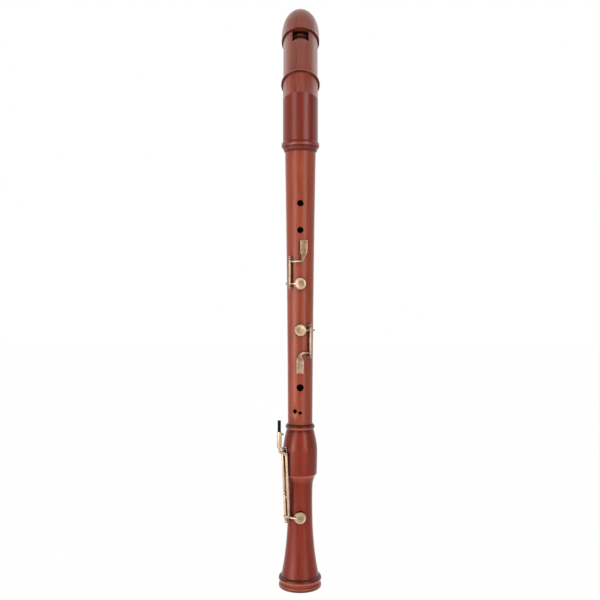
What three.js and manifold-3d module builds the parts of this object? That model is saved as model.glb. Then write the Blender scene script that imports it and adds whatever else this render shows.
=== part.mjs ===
// Bass recorder with a bent head, built from its separate joints, keys and fittings.
// Millimetres. The bore of the lower joints is the Z axis, the finger holes face -Y, and the foot stands on z = 0.
import * as THREE from "three";
import { mergeVertices } from "three/addons/utils/BufferGeometryUtils.js";
import Module from "manifold-3d";

const wasm = await Module();
wasm.setup();

// Shared clearances and tool sizes
const weldDistance = 0.0005;
const seatGap = 0.2; // between two joints where one shoulder rests on the next
const glueGap = 0.1; // either side of the mitre
const corkGap = 0.15; // cork to the socket wall, and cork to its groove
const stemGap = 0.15; // a post or screw in its hole
const pivotGap = 0.25; // a hinge tube beside its posts
const runningGap = 0.1; // a hinge tube round its rod
const overrun = 5; // how far a cutting tool passes the surface it cuts
const edgeBreak = 0.6; // small turned chamfers
const woodSides = 40;
const cupSides = 24;
const holeSides = 20;
const smallSides = 16;
const stemSides = 12;
const springSides = 6;

// Main lengths, measured along the bore from the foot's end
const footTop = 245;
const middleTop = 650.3;
const kneeRise = 75.7; // from the middle joint to where its axis meets the head's
const kneeHeight = middleTop + kneeRise;
const headTilt = THREE.MathUtils.degToRad(36); // head's axis away from the bore of the joints below

// Foot joint
const footBandRadius = 31.8;
const footBandHeight = 5.7;
const footBandRounding = 1.4;
const footGrooveDepth = 3.5;
const footGrooveWidth = 3.6;
const footBeadRadius = 32;
const footBeadHeight = 8;
const bellRadius = 27.9;
const waistRadius = 18.3;
const waistHeight = 128;
const barrelFoot = 168.7;
const barrelEdgeRadius = 24.8;
const barrelCrest = 198;
const barrelRadius = 25.8;
const barrelTop = 233.8;
const barrelTopRadius = 20.7;
const ringGroove = 2.6;
const ringGrooveRadius = 19.7;
const ringWidth = 5.6;
const ringRadius = 21.9;
const footRimRadius = 20.4;
const footBoreEnd = 11.5;
const footBoreFlare = 12;
const footBoreLow = 9.6;
const footBoreHigh = 10.4;
const footSocketDepth = 42;
const footSocketRadius = 15.3;
const footTenonSlack = 0.275; // bare wood of the tenon to the socket wall
const bellShares = [[0, 0], [0.2, 0.4], [0.36, 0.64], [0.53, 0.82], [0.69, 0.93], [1, 1]];
const neckShares = [[0, 0], [0.38, 0.03], [0.6, 0.09], [0.72, 0.2], [0.83, 0.41], [0.94, 0.68], [1, 1]];
const barrelShares = [[0, 0], [0.25, 0.02], [0.5, 0.24], [0.75, 0.58], [1, 1]];

// Middle joint
const middleLowRadius = 18.45;
const middleHighRadius = 23.05;
const middleStraightShare = 0.4; // how much of its widening is a straight cone; the rest swells to the top
const footTenonLength = 38;
const kneeTenonLength = 36.5;
const kneeTenonRadius = 20;
const middleBoreLow = 10.6;
const middleBoreHigh = 16.4;
const corkWidth = 24;
const corkDepth = 1.3;
const corkSetback = 6; // from a tenon's shoulder to its cork

// Finger holes on the middle joint: height, sideways place and radius
const indexHole = { z: 571.6, x: 0, r: 4.8 };
const secondHole = { z: 532, x: 0, r: 4.65 };
const fifthHole = { z: 299, x: 0, r: 5.3 };
const sixthHoleLarge = { z: 263.8, x: -7.6, r: 2.9 };
const sixthHoleSmall = { z: 261.7, x: 0, r: 2.4 };
const thumbHole = { z: 586, x: 0, r: 4.3 };
const thirdHoleRadius = 4.6;
const fourthHoleRadius = 4.8;
const seventhHoleRadius = 5.6;

// Knee
const kneeRadius = 26.35;
const kneeRimRadius = 24.3;
const kneeRimHeight = 6.4;
const kneeBeadRadius = 28.4;
const kneeBeadHeight = 7;
const kneeSocketRadius = kneeTenonRadius + 2 * corkGap;
const kneeSocketSlack = 2;
const headBore = 17.5;
const kneeBore = 17.2;
const headSocketFloor = 12; // along the head's axis, from where the axes meet
const headSocketRadius = 21.7;
const headShoulder = 41.7;
const headRingRadius = 29.6;
const headRingHeight = 4.6;
const headRingRim = 27;

// Head joint
const headLowRadius = 26.1;
const headWaistRadius = 26.6;
const headWaistSetback = 20;
const headHighRadius = 27.5;
const headTenonSlack = 1.2;
const capRim = 141.5;
const sleeveLength = 45.5;
const sleeveRadius = 22.5;
const windwayWidth = 25;
const windwayRoof = 19.6; // radius of the arched roof
const windwayFloor = 17.3;
const windowWidth = 25.4;
const windowHeight = 8.2; // cut-up
const labiumRadius = 18.5;
const rampLength = 21.4;
const blockSetback = 0.5; // block line inside the cap's rim
const blockGap = 0.25;
const blockChamfer = 0.9;
const capCorkWidth = 18;
const capCorkDepth = 0.9;
const capCorkSetback = 9;

// Cap
const capRadius = 30.2;
const capSkirt = 14;
const capDome = 60.5;
const capDomePower = 2.3; // 2 is an ellipse, more is fuller
const capChamberRadius = 19;
const capChamberEnd = 8;
const capChamberLength = 9.5;
const beakHeelRadius = 26.5;
const beakLength = 26;
const beakLip = 1.5;
const beakHollow = 45;
const mouthWidth = 15;
const mouthHeight = 3.5;
const mouthOffset = 6;

// Keys on the middle joint
const keyTubeRadius = 1.9;
const hingeRodRadius = 0.9;
const hingeSideways = 15.5;
const hingeStandoff = 4; // axis of the hinge above the wood
const postBallRadius = 2.3;
const postStemRadius = 1.4;
const postRoot = 3.2; // how deep the stem goes into the wood
const rodHeadHeight = 1;
const rodHeadShare = 1.8; // head of a hinge rod, as a share of the rod
const rodTail = 0.3;
const leverThickness = 1.8;
const leverWidth = 2.8;
const cupHeight = 3;
const cupWall = 0.8;
const cupCrown = 0.9;
const cupCrownShare = 0.8; // how much of the crown is reached half-way in
const padInset = 0.15;
const padThickness = 2.5;
const padSeatGap = 0.3;
const seatDepth = 1.2; // flat milled round a keyed hole
const keyTailLength = 4.4;
const touchDish = 0.6;
const touchRim = 1;
const springRadius = 0.35;
const springHookLength = 1.5;
const springHookReach = 1.35;
const springStep = 1.2; // spring beside the hook, so that the closing key never reaches it
const keyOpening = THREE.MathUtils.degToRad(10.5);
// A key's outline has sideways places, and runs along the lever from its arm. The near edge faces the hinge.
const upperKey = {
  side: -1, rise: 1, cupZ: 452.9, cupRadius: 8.8, holeRadius: thirdHoleRadius, cupX: 0.7,
  armZ: 485.6, lowPost: 447.4, highPost: 490, touchX: 6.3, touchWidth: 10.2, touchEnd: 31,
  nearNeck: { x: 3, run: 8.6 }, nearShoulder: 11.8, farShoulder: 19.8, farBend: { x: 11.2, run: 11.5 },
  farNeck: { x: 7.1, run: 5.1 }, heel: { x: 6.3, reach: 1.9 }, fillet: 1.8,
};
const lowerKey = {
  side: 1, rise: -1, cupZ: 384.2, cupRadius: 8.6, holeRadius: fourthHoleRadius, cupX: -0.7,
  armZ: 350.9, lowPost: 344.4, highPost: 390.6, touchX: -1.3, touchWidth: 10.2, touchEnd: 30,
  nearNeck: { x: 1.1, run: 5.6 }, nearShoulder: 10.9, farShoulder: 9.5, farBend: { x: -3.6, run: 4.9 },
  farNeck: { x: -0.7, run: 0.4 }, heel: { x: 0.2, reach: 3 }, fillet: 3.2,
};

// Foot key
const footCupHeight = 107.5;
const footHingeOverhang = 7.4; // of the hinge below the cup
const footHingeLow = new THREE.Vector3(-20.7, -11.3, footCupHeight - footHingeOverhang);
const footHingeHigh = new THREE.Vector3(-25.6, -14.3, 206.6);
const footMiddlePostHeight = 143.5;
const footTubeRadius = 1.6;
const footRodRadius = 0.8;
const footBallRadius = 2.5;
const footBarLow = new THREE.Vector3(-16.4, -17.5, footCupHeight);
const footBarHigh = new THREE.Vector3(-20.4, -22, 203.6);
const footBarRadius = 1.6;
const footCupX = 1;
const footCupRadius = 9;
const footSeatSink = 0.4; // how much deeper its flat is milled than the other keys'
const footKeyOpening = THREE.MathUtils.degToRad(6);
const footLeverRadius = 21;
const footLinkHeight = 3;
const footCollarHeight = 137;
const footCollarRadius = 1.44;
const footSleeve = new THREE.Vector3(-30.6, -28, 212);
const footSleeveLength = 23.7;
const footSleeveRadius = 3.4;
const footSleeveBore = 2.6;
const footSleeveFloor = 1.5;
const footElbowDrop = 6.5;
const footElbowShares = [0.18, 0.5]; // bends of the arm on its way from the elbow to the bar
const footArmRadius = 1.7;
const touchRodRadius = 2.4;
const touchRodShown = 16.7;
const touchRodHidden = 12;
const clampHeight = 20; // above the sleeve's lower end
const clampHeadRadius = 1.9;
const clampHeadHeight = 1.5;
const clampShankRadius = 0.9;
const clampShank = 2.2;
const springPostHeight = 210.6;
const springPostSideways = -19.6;
const springPostRadius = 1.5;
const springPostShank = 0.9;
const springPostRise = 2.4;
const footSpringLength = 36;
const footSpringStandoff = 0.8;

// Fittings at the back
const restHeight = 346;
const restPlateLength = 32;
const restWidth = 13;
const restThickness = 1.8;
const restGap = 0.3;
const restHookReach = 15;
const restHookDrop = 7;
const restHookThickness = 2.4;
const restScrewSpacing = 22;
const restScrewRadius = 1.1;
const restScrewHead = 2.2;
const restScrewHeadHeight = 1;
const restScrewLength = 6;
const strapDrop = 46.3; // below the middle joint's top
const strapHeight = middleTop - strapDrop;
const strapEyeRadius = 3.6;
const strapEyeThickness = 3;
const strapEyeStandoff = 5;
const strapEyeHole = 1.8;
const strapWire = 1.1;
const strapRingRadius = 9;

// Materials
function paint(color, roughness, metalness) {
  return new THREE.MeshStandardMaterial({ color, roughness, metalness });
}
const darkWood = paint(0x85352a, 0.42, 0);
const paleWood = paint(0x9c4a38, 0.42, 0);
const cedar = paint(0xb77a52, 0.7, 0);
const cork = paint(0xb98a5c, 0.85, 0);
const brass = paint(0xc9a47a, 0.32, 1);
const steel = paint(0x9a9a98, 0.35, 1);
const leather = paint(0xd8c4a0, 0.8, 0);
const ebonite = paint(0x121212, 0.35, 0);

// Solids

// A closed geometry as a solid: only positions are kept, and shared corners are merged.
function solid(geometry) {
  const flat = geometry.index ? geometry.toNonIndexed() : geometry;
  const bare = new THREE.BufferGeometry().setAttribute("position", flat.getAttribute("position"));
  const merged = mergeVertices(bare, weldDistance);
  const corners = merged.index.array;
  const kept = [];
  for (let i = 0; i < corners.length; i += 3) {
    const [a, b, c] = [corners[i], corners[i + 1], corners[i + 2]];
    if (a !== b && b !== c && c !== a) kept.push(a, b, c);
  }
  return new wasm.Manifold(new wasm.Mesh({
    numProp: 3,
    vertProperties: merged.attributes.position.array,
    triVerts: new Uint32Array(kept),
  }));
}

function geometryOf(shape) {
  const mesh = shape.getMesh();
  const geometry = new THREE.BufferGeometry();
  geometry.setAttribute("position", new THREE.BufferAttribute(new Float32Array(mesh.vertProperties), 3));
  geometry.setIndex(new THREE.BufferAttribute(new Uint32Array(mesh.triVerts), 1));
  geometry.computeVertexNormals();
  return geometry;
}

function joined(...shapes) {
  return shapes.reduce((sum, shape) => sum.add(shape));
}

function cutFrom(shape, ...tools) {
  return tools.reduce((rest, tool) => rest.subtract(tool), shape);
}

// Turned on the Z axis from [radius, height] points that start and end on the axis.
function turned(profile, sides) {
  const points = profile.map(([r, z]) => new THREE.Vector2(r, z));
  return solid(new THREE.LatheGeometry(points, sides).rotateX(Math.PI / 2));
}

// A turned tube: the outside listed upwards, the bore listed downwards.
function turnedTube(outside, bore, sides = woodSides) {
  return turned([...outside, ...bore, outside[0]], sides);
}

function disc(radius, from, to, sides = smallSides) {
  return turned([[0, from], [radius, from], [radius, to], [0, to]], sides);
}

// A shape made round the Z axis from its origin, laid along the way from one point to another.
function laid(shape, from, to) {
  const turn = new THREE.Quaternion().setFromUnitVectors(
    new THREE.Vector3(0, 0, 1),
    to.clone().sub(from).normalize(),
  );
  return moved(shape, new THREE.Matrix4().compose(from, turn, new THREE.Vector3(1, 1, 1)));
}

function moved(shape, matrix) {
  return solid(geometryOf(shape).applyMatrix4(matrix));
}

function shifted(shape, x, y, z) {
  return moved(shape, new THREE.Matrix4().makeTranslation(x, y, z));
}

function rod(from, to, radius, sides = smallSides) {
  return laid(disc(radius, 0, from.distanceTo(to), sides), from, to);
}

function block(width, depth, height, centre) {
  return solid(new THREE.BoxGeometry(width, depth, height).translate(centre.x, centre.y, centre.z));
}

function ball(radius, centre, sides = smallSides) {
  const rows = sides / 2;
  const profile = [];
  for (let i = 0; i <= rows; i += 1) {
    const turn = Math.PI * (i / rows - 0.5);
    const r = i === 0 || i === rows ? 0 : radius * Math.cos(turn);
    profile.push([r, radius * Math.sin(turn)]);
  }
  return shifted(turned(profile, sides), centre.x, centre.y, centre.z);
}

// An outline in the XZ plane, extruded along Y from the front face to the back face.
function frontCut(outline, front, back) {
  const plate = new THREE.ExtrudeGeometry(outline, { depth: back - front, bevelEnabled: false, curveSegments: 5 });
  return solid(plate.rotateX(Math.PI / 2).translate(0, back, 0));
}

// An outline in the YZ plane, extruded along X across the middle.
function sideCut(outline, width) {
  const plate = new THREE.ExtrudeGeometry(outline, { depth: width, bevelEnabled: false, curveSegments: 6 });
  plate.applyMatrix4(new THREE.Matrix4().makeBasis(
    new THREE.Vector3(0, 1, 0), new THREE.Vector3(0, 0, 1), new THREE.Vector3(1, 0, 0),
  ));
  return solid(plate.translate(-width / 2, 0, 0));
}

// Profile pieces

// Smooth [radius, height] points between two ends, from a table of shares of height and of radius.
function flowing(shares, fromR, fromZ, toR, toZ, steps) {
  const curve = new THREE.SplineCurve(shares.map(([h, w]) => new THREE.Vector2(h, w)));
  return curve.getPoints(steps).map((p) => [fromR + (toR - fromR) * p.y, fromZ + (toZ - fromZ) * p.x]);
}

// A turned bead: half an ellipse between two heights.
function bead(base, crest, from, to, steps = 6) {
  const points = [];
  for (let i = 0; i <= steps; i += 1) {
    const turn = Math.PI * (i / steps);
    const height = (from + to) / 2 - ((to - from) / 2) * Math.cos(turn);
    points.push([base + (crest - base) * Math.sin(turn), height]);
  }
  return points;
}

// Tenon outline, upwards when dir is 1, from its free end to its shoulder, with a groove for the cork.
function tenon(radius, end, shoulder, grooveStart, grooveEnd, grooveDepth) {
  const dir = Math.sign(shoulder - end);
  return [
    [radius - edgeBreak, end], [radius, end + dir * edgeBreak],
    [radius, grooveStart], [radius - grooveDepth, grooveStart],
    [radius - grooveDepth, grooveEnd], [radius, grooveEnd], [radius, shoulder],
  ];
}

// Foot joint

const footSocketFloor = footTop - footSocketDepth;
const footSpan = footHingeHigh.z - footHingeLow.z;

function footRadiusAt(z) {
  if (z >= barrelCrest) return barrelRadius;
  const neck = flowing(neckShares, waistRadius, waistHeight, barrelEdgeRadius, barrelFoot, neckShares.length * 4);
  if (z <= waistHeight) return waistRadius + (bellRadius - waistRadius) * bellSwell(z);
  const next = neck.findIndex((point) => point[1] >= z);
  return next < 0 ? barrelRadius : neck[next][0];
}

// How far the bell has opened at a height, from 0 at the waist to 1 at its mouth.
function bellSwell(z) {
  const mouth = footBandHeight + footGrooveWidth + footBeadHeight;
  const share = (z - mouth) / (waistHeight - mouth);
  const next = Math.max(1, bellShares.findIndex(([h]) => h >= share));
  const [h0, w0] = bellShares[next - 1];
  const [h1, w1] = bellShares[next];
  return 1 - (w0 + ((w1 - w0) * (share - h0)) / (h1 - h0));
}

const footSeatRadius = footRadiusAt(footCupHeight) - footSeatSink;

// Where the foot key's hinge line stands at a height.
function footHingeAt(z) {
  return footHingeLow.clone().lerp(footHingeHigh, (z - footHingeLow.z) / footSpan);
}

// Outward direction, square to the bore, at a point beside it.
function outward(point) {
  return new THREE.Vector3(point.x, point.y, 0).normalize();
}

// A hole for a post's stem, drilled towards the bore from outside.
function stemHole(target, surface, radius, depth) {
  const way = outward(target);
  const floor = way.clone().multiplyScalar(surface - depth).setZ(target.z);
  const mouth = way.clone().multiplyScalar(surface + overrun).setZ(target.z);
  return rod(floor, mouth, radius + stemGap, stemSides);
}

const footPosts = [footHingeLow, footHingeAt(footMiddlePostHeight), footHingeHigh];
const springPostPlace = new THREE.Vector3(
  springPostSideways,
  -Math.sqrt(barrelRadius ** 2 - springPostSideways ** 2),
  springPostHeight,
);

// The flat and the hole under a pad, facing -Y.
function paddedSeat(surface, x, z, cupRadius, holeRadius) {
  const seat = surface - seatDepth;
  const front = new THREE.Vector3(x, -surface - overrun, z);
  const flat = rod(new THREE.Vector3(x, -seat, z), front, cupRadius + padSeatGap, cupSides);
  const hole = rod(new THREE.Vector3(x, 0, z), front, holeRadius, holeSides);
  return flat.add(hole);
}

function footJoint() {
  const bellMouth = footBandHeight + footGrooveWidth + footBeadHeight;
  const groove = footBandHeight + footGrooveWidth / 2;
  const grooveRadius = footBandRadius - footGrooveDepth;
  const ringFrom = barrelTop + ringGroove;
  const outside = [
    [footBandRadius - footBandRounding, 0],
    [footBandRadius, footBandRounding],
    [footBandRadius, footBandHeight - footBandRounding],
    [footBandRadius - edgeBreak, footBandHeight],
    [grooveRadius, groove - edgeBreak],
    [grooveRadius, groove + edgeBreak],
    ...bead(grooveRadius, footBeadRadius, bellMouth - footBeadHeight, bellMouth, 6).slice(0, -1),
    ...flowing(bellShares, bellRadius, bellMouth, waistRadius, waistHeight, 10),
    ...flowing(neckShares, waistRadius, waistHeight, barrelEdgeRadius, barrelFoot, 8).slice(1),
    [(barrelEdgeRadius + barrelRadius) / 2, (barrelFoot + barrelCrest) / 2],
    ...flowing(barrelShares, barrelRadius, barrelCrest, barrelTopRadius, barrelTop, 8),
    [ringGrooveRadius, barrelTop + edgeBreak],
    [ringGrooveRadius, ringFrom - edgeBreak],
    ...bead(footRimRadius, ringRadius, ringFrom, ringFrom + ringWidth, 6),
    [footRimRadius, footTop],
  ];
  const bore = [
    [footSocketRadius + edgeBreak, footTop],
    [footSocketRadius, footTop - edgeBreak],
    [footSocketRadius, footSocketFloor],
    [footBoreHigh, footSocketFloor],
    [footBoreLow, footBoreFlare],
    [footBoreEnd, 0],
  ];
  const holes = footPosts.map((p) => stemHole(p, footRadiusAt(p.z), postStemRadius, postRoot));
  return cutFrom(
    turnedTube(outside, bore),
    paddedSeat(footSeatRadius, footCupX, footCupHeight, footCupRadius, seventhHoleRadius),
    stemHole(springPostPlace, footRadiusAt(springPostHeight), springPostShank, postRoot),
    ...holes,
  );
}

// Middle joint

function middleRadiusAt(z) {
  const share = (z - footTop) / (middleTop - footTop);
  const swell = middleStraightShare * share + (1 - middleStraightShare) * share ** 2;
  return middleLowRadius + (middleHighRadius - middleLowRadius) * swell;
}

const footTenonEnd = footTop - footTenonLength;
const kneeTenonEnd = middleTop + kneeTenonLength;
const footTenonRadius = footSocketRadius - footTenonSlack;

function fingerHole({ z, x, r }) {
  const out = -middleRadiusAt(z) - overrun;
  return rod(new THREE.Vector3(x, 0, z), new THREE.Vector3(x, out, z), r, holeSides);
}

function hingePoint(key, z) {
  const reach = middleRadiusAt((key.lowPost + key.highPost) / 2) + hingeStandoff;
  return new THREE.Vector3(key.side * hingeSideways, -Math.sqrt(reach ** 2 - hingeSideways ** 2), z);
}

function keyPosts(key) {
  return [hingePoint(key, key.lowPost), hingePoint(key, key.highPost)];
}

// Places of the thumb rest's two screws.
const restScrewHeights = [restHeight - restScrewSpacing / 2, restHeight + restScrewSpacing / 2];

function middleJoint() {
  const rows = 8;
  const body = [];
  for (let i = 0; i <= rows; i += 1) {
    const low = footTop + seatGap;
    const z = low + ((middleTop - seatGap - low) * i) / rows;
    body.push([middleRadiusAt(z), z]);
  }
  const low = tenon(footTenonRadius, footTenonEnd, footTop + seatGap,
    footTop - corkSetback - corkWidth, footTop - corkSetback, corkDepth);
  const high = tenon(kneeTenonRadius, kneeTenonEnd, middleTop - seatGap,
    middleTop + corkSetback + corkWidth, middleTop + corkSetback, corkDepth).reverse();
  const bore = [[middleBoreHigh, kneeTenonEnd], [middleBoreLow, footTenonEnd]];
  const thumb = backRod(0, middleRadiusAt(thumbHole.z) + overrun, thumbHole.z, thumbHole.r, holeSides);
  const seats = [upperKey, lowerKey].map((key) => (
    paddedSeat(middleRadiusAt(key.cupZ), key.cupX, key.cupZ, key.cupRadius, key.holeRadius)
  ));
  const stems = [...keyPosts(upperKey), ...keyPosts(lowerKey)].map((p) => (
    stemHole(p, middleRadiusAt(p.z), postStemRadius, postRoot)
  ));
  const screws = restScrewHeights.map((z) => (
    stemHole(new THREE.Vector3(0, restScrewLength, z), middleRadiusAt(z), restScrewRadius, restScrewLength)
  ));
  const eye = stemHole(
    new THREE.Vector3(0, postRoot, strapHeight), middleRadiusAt(strapHeight), postStemRadius, postRoot,
  );
  return cutFrom(
    turnedTube([...low, ...body, ...high], bore),
    ...[indexHole, secondHole, fifthHole, sixthHoleLarge, sixthHoleSmall].map(fingerHole),
    thumb, ...seats, ...stems, ...screws, eye,
  );
}

// A cork lapping that fills its groove and stands just clear of the socket.
function corkSleeve(grooveRadius, socketRadius, from, to) {
  const inner = grooveRadius + corkGap;
  const outer = socketRadius - corkGap;
  const low = Math.min(from, to) + corkGap;
  const high = Math.max(from, to) - corkGap;
  return turnedTube([[outer, low], [outer, high]], [[inner, high], [inner, low]]);
}

// Knee

// What is cut away on one side of the mitre: the side is 1 above it, -1 below it.
function mitreCut(side, centreHeight) {
  const size = kneeRise + headShoulder;
  const slab = new THREE.BoxGeometry(size, size, size);
  slab.translate(0, 0, side * (size / 2 - glueGap));
  slab.rotateX((-side * headTilt) / 2);
  return solid(slab.translate(0, 0, centreHeight));
}

function kneeLowerHalf() {
  const beadFrom = middleTop + kneeRimHeight;
  const beadTo = beadFrom + kneeBeadHeight;
  const top = kneeHeight + kneeRadius;
  const outside = [
    [kneeRimRadius, middleTop],
    [kneeBeadRadius - edgeBreak, beadFrom],
    ...bead(kneeBeadRadius - edgeBreak, kneeBeadRadius, beadFrom, beadTo - edgeBreak, 4).slice(1),
    [kneeRadius, beadTo],
    [kneeRadius, top],
  ];
  const floor = kneeTenonEnd + kneeSocketSlack;
  const bore = [
    [kneeBore, top],
    [kneeBore, floor],
    [kneeSocketRadius, floor],
    [kneeSocketRadius, middleTop + edgeBreak],
    [kneeSocketRadius + edgeBreak, middleTop],
  ];
  return turnedTube(outside, bore).subtract(mitreCut(1, kneeHeight));
}

// Made on the head's own axis.
function kneeUpperHalf() {
  const ringFrom = headShoulder - headRingHeight;
  const outside = [
    [kneeRadius, -kneeRadius],
    [kneeRadius, ringFrom],
    [headRingRadius - edgeBreak, ringFrom],
    ...bead(headRingRadius - edgeBreak, headRingRadius, ringFrom + edgeBreak, headShoulder - edgeBreak, 4),
    [headRingRim, headShoulder - seatGap],
  ];
  const bore = [
    [headSocketRadius, headShoulder - seatGap],
    [headSocketRadius, headSocketFloor],
    [kneeBore, headSocketFloor],
    [kneeBore, -kneeRadius],
  ];
  return turnedTube(outside, bore).subtract(mitreCut(-1, 0));
}

// Head joint, made on its own axis with the window facing -Y

const headTenonEnd = headSocketFloor + headTenonSlack;
const headTenonRadius = headSocketRadius - 2 * corkGap;
const headTenonCork = [headTenonEnd + corkSetback, headTenonEnd + corkWidth];
const sleeveTop = capRim + sleeveLength;
const capCorkSpan = [capRim + capCorkSetback, capRim + capCorkSetback + capCorkWidth];
const blockLine = capRim + blockSetback;
const labiumEdge = blockLine - windowHeight;
const rampStart = labiumEdge - rampLength;

function headJoint() {
  const waist = headShoulder + headWaistSetback;
  const outside = [
    ...tenon(headTenonRadius, headTenonEnd, headShoulder, ...headTenonCork, corkDepth),
    [headLowRadius, headShoulder],
    [headWaistRadius, waist],
    [headHighRadius, capRim - seatGap],
    ...tenon(sleeveRadius, sleeveTop, capRim - seatGap, capCorkSpan[1], capCorkSpan[0], capCorkDepth).reverse(),
  ];
  const bore = [[headBore, sleeveTop], [headBore, headTenonEnd]];
  const arch = turnedTube(
    [[windwayRoof, labiumEdge], [windwayRoof, sleeveTop + overrun]],
    [[windwayFloor, sleeveTop + overrun], [windwayFloor, labiumEdge]],
  );
  const windwayBox = block(windwayWidth, headHighRadius, 2 * sleeveTop, new THREE.Vector3(0, -headHighRadius, 0));
  const depth = headHighRadius + overrun;
  const windowBox = block(windowWidth, depth, windowHeight, new THREE.Vector3(
    0, -labiumRadius / 2 - depth / 2, labiumEdge + windowHeight / 2,
  ));
  const rampBox = block(windowWidth, depth, rampLength, new THREE.Vector3(
    0, -labiumRadius / 2 - depth / 2, labiumEdge - rampLength / 2,
  ));
  const rampShare = (rampStart - waist) / (capRim - waist);
  const surface = headWaistRadius + (headHighRadius - headWaistRadius) * rampShare;
  const rampCone = turned([
    [0, rampStart - overrun], [surface, rampStart - overrun], [surface, rampStart],
    [labiumRadius, labiumEdge], [labiumRadius, labiumEdge + overrun], [0, labiumEdge + overrun],
  ], woodSides);
  return cutFrom(
    turnedTube(outside, bore),
    arch.intersect(windwayBox),
    windowBox,
    rampBox.subtract(rampCone),
  );
}

function headBlock() {
  const radius = headBore - blockGap;
  return turned([
    [0, blockLine], [radius - blockChamfer, blockLine], [radius, blockLine + blockChamfer],
    [radius, sleeveTop], [0, sleeveTop],
  ], woodSides);
}

function cap() {
  const domeStart = capRim + capSkirt;
  const outside = [[capRadius - edgeBreak, capRim], [capRadius, capRim + edgeBreak], [capRadius, domeStart]];
  const steps = 12;
  for (let i = 1; i <= steps; i += 1) {
    const turn = (Math.PI / 2) * (i / steps);
    const r = i === steps ? 0 : capRadius * Math.cos(turn) ** (2 / capDomePower);
    outside.push([r, domeStart + capDome * Math.sin(turn) ** (2 / capDomePower)]);
  }
  const socket = sleeveRadius + 2 * corkGap;
  const chamberFloor = sleeveTop + headTenonSlack;
  const hollow = turned([
    [0, capRim - overrun], [socket, capRim - overrun], [socket, chamberFloor],
    [capChamberRadius, chamberFloor], [capChamberEnd, chamberFloor + capChamberLength],
    [0, chamberFloor + capChamberLength],
  ], woodSides);
  const tip = domeStart + capDome;
  const mouth = block(mouthWidth, mouthHeight, tip - chamberFloor, new THREE.Vector3(
    0, -mouthOffset - mouthHeight / 2, tip + (chamberFloor - tip) / 2 + capChamberLength / 2,
  ));
  const lip = new THREE.Vector2(-beakLip, tip);
  const heel = new THREE.Vector2(beakHeelRadius, tip - beakLength);
  const chord = heel.clone().sub(lip);
  const out = new THREE.Vector2(-chord.y, chord.x).normalize();
  const centre = lip.clone().add(heel).multiplyScalar(1 / 2)
    .addScaledVector(out, Math.sqrt(beakHollow ** 2 - chord.lengthSq() / 4));
  const hollowCut = rod(
    new THREE.Vector3(-capRadius, centre.x, centre.y),
    new THREE.Vector3(capRadius, centre.x, centre.y),
    beakHollow, 72,
  );
  return cutFrom(turned([[0, capRim], ...outside], woodSides), hollow, mouth, hollowCut);
}

// Keys on the middle joint, made shut

function cupSeatY(key) {
  return -(middleRadiusAt(key.cupZ) - seatDepth) - padSeatGap;
}

// A shape made upwards, laid to face -Y from a pad's seat.
function facing(shape, x, seatY, z) {
  return laid(shape, new THREE.Vector3(x, seatY, z), new THREE.Vector3(x, seatY - overrun, z));
}

// A cup open towards +Y, its pad's face at seatY.
function padCup(x, z, seatY, radius) {
  const roof = padThickness;
  const profile = [
    [0, roof + cupWall + cupCrown], [radius / 2, roof + cupWall + cupCrownShare * cupCrown],
    [radius - cupWall, roof + cupWall], [radius, roof],
    [radius, roof + cupWall - cupHeight], [radius - cupWall, roof + cupWall - cupHeight],
    [radius - cupWall, roof], [0, roof],
  ].reverse();
  return facing(turned(profile, cupSides), x, seatY, z);
}

// Room for the pad, cleared from the lever where it crosses the cup.
function padRoom(x, z, seatY, radius) {
  const room = disc(radius - cupWall, -overrun, padThickness, cupSides);
  return facing(room, x, seatY, z);
}

function pad(x, z, seatY, radius) {
  const r = radius - cupWall - padInset;
  const back = padThickness - padInset;
  const profile = [[0, 0], [r - edgeBreak, 0], [r, edgeBreak], [r, back], [0, back]];
  return facing(turned(profile, cupSides), x, seatY, z);
}

// The lever seen from the front: an arm from the hinge, a neck, and the touch that widens from it.
function leverOutline(key, hingeX) {
  const { side, touchX, touchWidth, touchEnd, nearNeck, farBend, farNeck, heel, fillet } = key;
  const half = leverWidth / 2;
  const z = (run) => key.armZ + key.rise * run;
  const nearEdge = touchX + side * (touchWidth / 2);
  const farEdge = touchX - side * (touchWidth / 2);
  const shape = new THREE.Shape();
  shape.moveTo(hingeX, z(half));
  shape.lineTo(nearNeck.x + side * fillet, z(half));
  shape.quadraticCurveTo(nearNeck.x, z(half), nearNeck.x, z(half + fillet));
  shape.lineTo(nearNeck.x, z(nearNeck.run));
  shape.lineTo(nearEdge, z(key.nearShoulder));
  shape.lineTo(nearEdge, z(touchEnd));
  shape.lineTo(farEdge, z(touchEnd));
  shape.lineTo(farEdge, z(key.farShoulder));
  shape.quadraticCurveTo(farBend.x, z(farBend.run), farNeck.x, z(farNeck.run));
  shape.quadraticCurveTo(heel.x, z(-half), heel.x + side * heel.reach, z(-half));
  shape.lineTo(hingeX, z(-half));
  shape.closePath();
  return shape;
}

// A curved sheet round the bore, from which levers are cut.
function leverSheet(inner, from, to) {
  const outer = inner + leverThickness;
  return turnedTube([[outer, from], [outer, to]], [[inner, to], [inner, from]], 2 * woodSides);
}

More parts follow.
